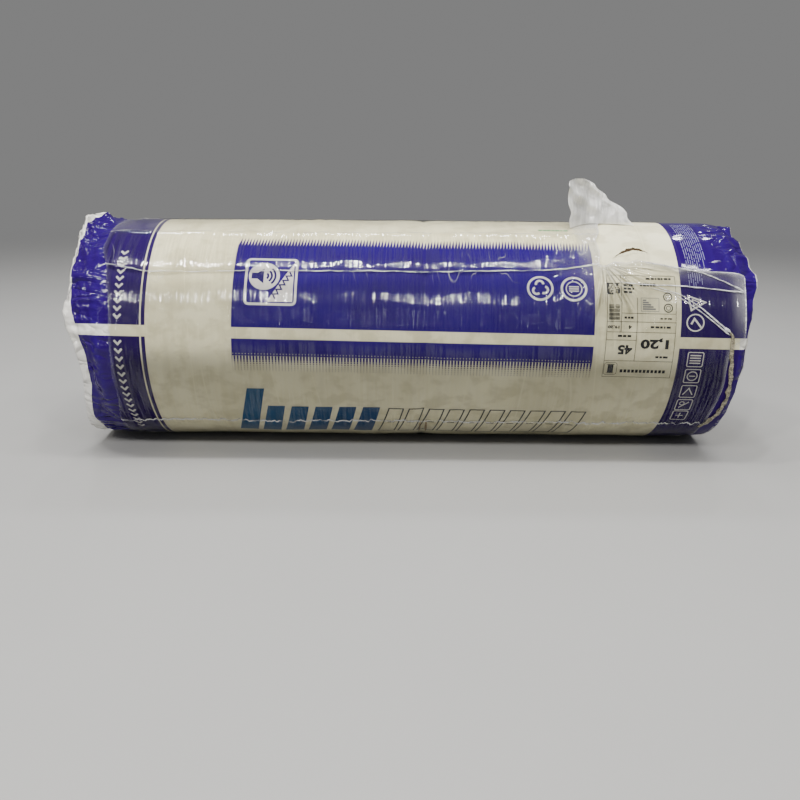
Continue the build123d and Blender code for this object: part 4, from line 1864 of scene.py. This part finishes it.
def strands():
    """The stretched strands across the opening's corner and the gathered hem."""
    shape = bmesh.new()
    for number, places in enumerate(STRANDS):
        twisted_tube(shape, places, 0.0006, 7, 0, 151 + number)
    bmesh.ops.recalc_face_normals(shape, faces=shape.faces)
    threads = finished("film_strands", shape, bpy.data.materials["stretched_film"])
    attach(threads, "root")
    shape = bmesh.new()
    twisted_tube(shape, ROPE, 0.0004, 14, 3, 173)
    bmesh.ops.recalc_face_normals(shape, faces=shape.faces)
    hem = finished("gathered_hem", shape, bpy.data.materials["gathered_film"])
    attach(hem, "root")


class ROLL_OT_wool(bpy.types.Operator):
    """Turn the two wound mats, with their spiral turns on the ends"""

    bl_idname = "roll.wool"
    bl_label = "Wound wool"

    def execute(self, context):
        sizes = context.scene.roll_wool
        for name, node in (("wool_left", "wool_roll_left"), ("wool_right", "wool_roll_right")):
            low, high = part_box(node)
            wool = wound_mat(name, low[0], high[0], sizes)
            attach(wool, "root")
            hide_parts(node)
        return {"FINISHED"}


# How finely a wound mat is divided, its eye, how much its outer turn falls away
# at the ends, and how far its skin lies inside the solid's
END_RINGS = 126
SKIN_STEPS = 6
ROUND_STEPS = 160
EYE_RADIUS = 0.015
WOOL_SHOULDER = 0.009
WOOL_INSET = 0.0030


def wound_mat(name, left, right, sizes):
    """One wound mat: a turned solid whose ends are then raised into spiral turns."""
    shape = bmesh.new()
    reach = WOOL_RADIUS - WOOL_INSET
    rings = [EYE_RADIUS + (reach - EYE_RADIUS) * k / END_RINGS for k in range(END_RINGS + 1)]
    outline = [(left, ring) for ring in rings]
    outline += [(left + (right - left) * k / SKIN_STEPS, reach) for k in range(1, SKIN_STEPS)]
    outline += [(right, ring) for ring in reversed(rings)]
    outline += [(right + (left - right) * k / SKIN_STEPS, EYE_RADIUS) for k in range(1, SKIN_STEPS)]
    verts = [shape.verts.new((x, 0.0, AXIS_Z + ring)) for x, ring in outline]
    edges = [shape.edges.new((verts[k - 1], verts[k])) for k in range(len(verts))]
    bmesh.ops.spin(
        shape, geom=verts + edges, cent=(0.0, 0.0, AXIS_Z), axis=(1.0, 0.0, 0.0),
        dvec=(0.0, 0.0, 0.0), angle=TURN, steps=ROUND_STEPS, use_merge=True,
    )
    bmesh.ops.remove_doubles(shape, verts=shape.verts, dist=1e-6)
    wool = finished(name, shape, bpy.data.materials["glass_wool_finish"])
    mesh = wool.data
    points = vertex_places(mesh)
    raise_turns(points, left, right, sizes)
    move_vertices(mesh, points)
    tidy = bmesh.new()
    tidy.from_mesh(mesh)
    bmesh.ops.recalc_face_normals(tidy, faces=tidy.faces)
    tidy.to_mesh(mesh)
    tidy.free()
    return wool


def raise_turns(points, left, right, sizes):
    """Push the ends' points along X into a spiral of rounded, slightly uneven turns."""
    away = points[:, 2] - AXIS_Z
    radius = np.hypot(points[:, 1], away)
    angle = np.arctan2(-points[:, 1], away)
    pitch = (WOOL_RADIUS - EYE_RADIUS) / sizes.turns
    uneven = ripples(83, 8, (1.0, 4.0), (1, 5))
    wander = 0.16 * uneven(radius * 12, angle)
    phase = (radius - EYE_RADIUS) / pitch - angle / TURN + wander
    rounded = np.abs(np.sin(math.pi * phase)) ** 0.6
    layered = 0.25 * np.abs(np.sin(2 * math.pi * phase)) ** 0.5
    turn_rise = ripples(89, 9, (0.0, 0.2), (1, 3))
    rise = 0.0010 * turn_rise(radius, angle + np.floor(phase) * 1.7)
    depth = sizes.crown * (1.15 - rounded - layered) + 0.0008 - rise
    depth = np.clip(depth, 0.0003, None)
    depth += WOOL_SHOULDER * ease(radius, WOOL_RADIUS - 0.0100, WOOL_RADIUS) ** 2
    depth += 0.004 * ease(radius, EYE_RADIUS + 0.008, EYE_RADIUS)
    at_left = points[:, 0] < left + 1e-5
    at_right = points[:, 0] > right - 1e-5
    points[at_left, 0] += depth[at_left]
    points[at_right, 0] -= depth[at_right]


class ROLL_OT_stage(bpy.types.Operator):
    """Lay the pale floor, hang the soft lights and set the camera"""

    bl_idname = "roll.stage"
    bl_label = "Stage"

    def execute(self, context):
        backdrop = bmesh.new()
        bmesh.ops.create_grid(backdrop, x_segments=2, y_segments=2, size=60.0)
        floor = finished("floor", backdrop, bpy.data.materials["pale_floor"], smooth=False)
        set_lights(context)
        set_camera(context)
        return {"FINISHED"}


# The photograph's camera: lens and sensor in millimetres, degrees down and round,
# and its place in metres from the middle of the roll
LENS, SENSOR = 35.1, 36.0
CAMERA_PITCH, CAMERA_ROLL = 17.0, 0.45
CAMERA_SIDE, CAMERA_BACK, CAMERA_RISE = -0.048, 1.696, 0.353


def set_camera(context):
    """Set the camera at the photograph's viewing angle."""
    data = bpy.data.cameras.new("camera")
    data.lens = LENS
    data.sensor_width = SENSOR
    data.clip_end = 100.0
    camera = bpy.data.objects.new("camera", data)
    place = Matrix.Translation((WOOL_MIDDLE + CAMERA_SIDE, -CAMERA_BACK, AXIS_Z + CAMERA_RISE))
    look = Matrix.Rotation(math.radians(90.0 - CAMERA_PITCH), 4, "X")
    tilt = Matrix.Rotation(math.radians(CAMERA_ROLL), 4, "Z")
    camera.matrix_world = place @ look @ tilt
    context.scene.collection.objects.link(camera)
    context.scene.camera = camera


def hang_light(context, name, place, size, power, colour):
    """Hang an area light that points at the middle of the roll."""
    data = bpy.data.lights.new(name, "AREA")
    data.shape = "RECTANGLE"
    data.size, data.size_y = size
    data.energy = power
    data.color = colour
    light = bpy.data.objects.new(name, data)
    light.location = place
    aim = Vector((0.0, 0.0, AXIS_Z)) - Vector(place)
    light.rotation_euler = aim.to_track_quat("-Z", "Y").to_euler()
    context.scene.collection.objects.link(light)
    return light


WARM, COOL = (1.0, 0.98, 0.95), (0.97, 0.98, 1.0)
# Rows of narrow lamps that mirror in the film: name, each lamp's place from its
# station along X, its length, its power, how much of that it loses for each metre
# to the right, and its colour
LAMP_STATIONS = (-1.8, -0.5, 0.8, 2.1)
LAMP_WIDTH = 0.10
LAMP_ROWS = (
    ("near_lamp", (0.0, -0.9, 4.12), 0.60, 44.0, 0.13, WARM),
    ("front_lamp", (-0.5, -3.2, 3.05), 0.70, 49.0, 0.13, WARM),
    ("low_lamp", (-0.9, -4.2, 1.9), 1.30, 3.2, 0.13, COOL),
    ("back_lamp", (0.0, 2.6, 4.2), 0.50, 20.0, 0.0, COOL),
)
# Broad soft lights that don't mirror in the film: name, place, size, power, colour
SOFT_LIGHTS = (
    ("soft_box", (0.0, 2.6, 4.2), (5.0, 3.0), 20.0, COOL),
    ("overhead", (-0.25, -0.5, 4.2), (4.0, 2.0), 132.0, WARM),
    ("fill", (0.0, -5.0, 1.9), (4.0, 2.0), 3.0, COOL),
)
SURROUND = 0.22


def set_lights(context):
    """Hang the rows of narrow lamps and the broad soft lights."""
    for station in LAMP_STATIONS:
        for name, (x, y, z), length, power, loss, colour in LAMP_ROWS:
            place = (station + x, y, z)
            power = power * (1.0 - loss * station)
            hang_light(context, name, place, (LAMP_WIDTH, length), power, colour)
    for name, place, size, power, colour in SOFT_LIGHTS:
        light = hang_light(context, name, place, size, power, colour)
        light.visible_glossy = False
    light_surround(context)


def light_surround(context):
    """An even, pale surround."""
    world = bpy.data.worlds.new("soft_surround")
    world.use_nodes = True
    background = world.node_tree.nodes["Background"]
    background.inputs["Color"].default_value = (1.0, 1.0, 1.0, 1.0)
    background.inputs["Strength"].default_value = SURROUND
    context.scene.world = world


class ROLL_PT_panel(bpy.types.Panel):
    """Lists the steps that dress the roll"""

    bl_label = "Insulation roll"
    bl_idname = "ROLL_PT_panel"
    bl_space_type = "VIEW_3D"
    bl_region_type = "UI"
    bl_category = "Roll"

    def draw(self, context):
        for step in STEPS:
            self.layout.operator(step.bl_idname)


STEPS = (ROLL_OT_finishes, ROLL_OT_stage, ROLL_OT_wool, ROLL_OT_film, ROLL_OT_print, ROLL_OT_wrap)
GROUPS = {
    "roll_wool": RollWoolSettings,
    "roll_film": RollFilmSettings,
    "roll_wrap": RollWrapSettings,
    "roll_finish": RollFinishSettings,
}


def register():
    for kind in (*GROUPS.values(), *STEPS, ROLL_PT_panel):
        bpy.utils.register_class(kind)
    for name, kind in GROUPS.items():
        setattr(bpy.types.Scene, name, PointerProperty(type=kind))


def unregister():
    for name in GROUPS:
        delattr(bpy.types.Scene, name)
    for kind in reversed((*GROUPS.values(), *STEPS, ROLL_PT_panel)):
        bpy.utils.unregister_class(kind)


def main():
    """Dress the roll step by step."""
    register()
    bpy.ops.roll.finishes()
    bpy.ops.roll.stage()
    bpy.ops.roll.wool()
    bpy.ops.roll.film()
    bpy.ops.roll.small_print()
    bpy.ops.roll.wrap()


if __name__ == "__main__":
    main()
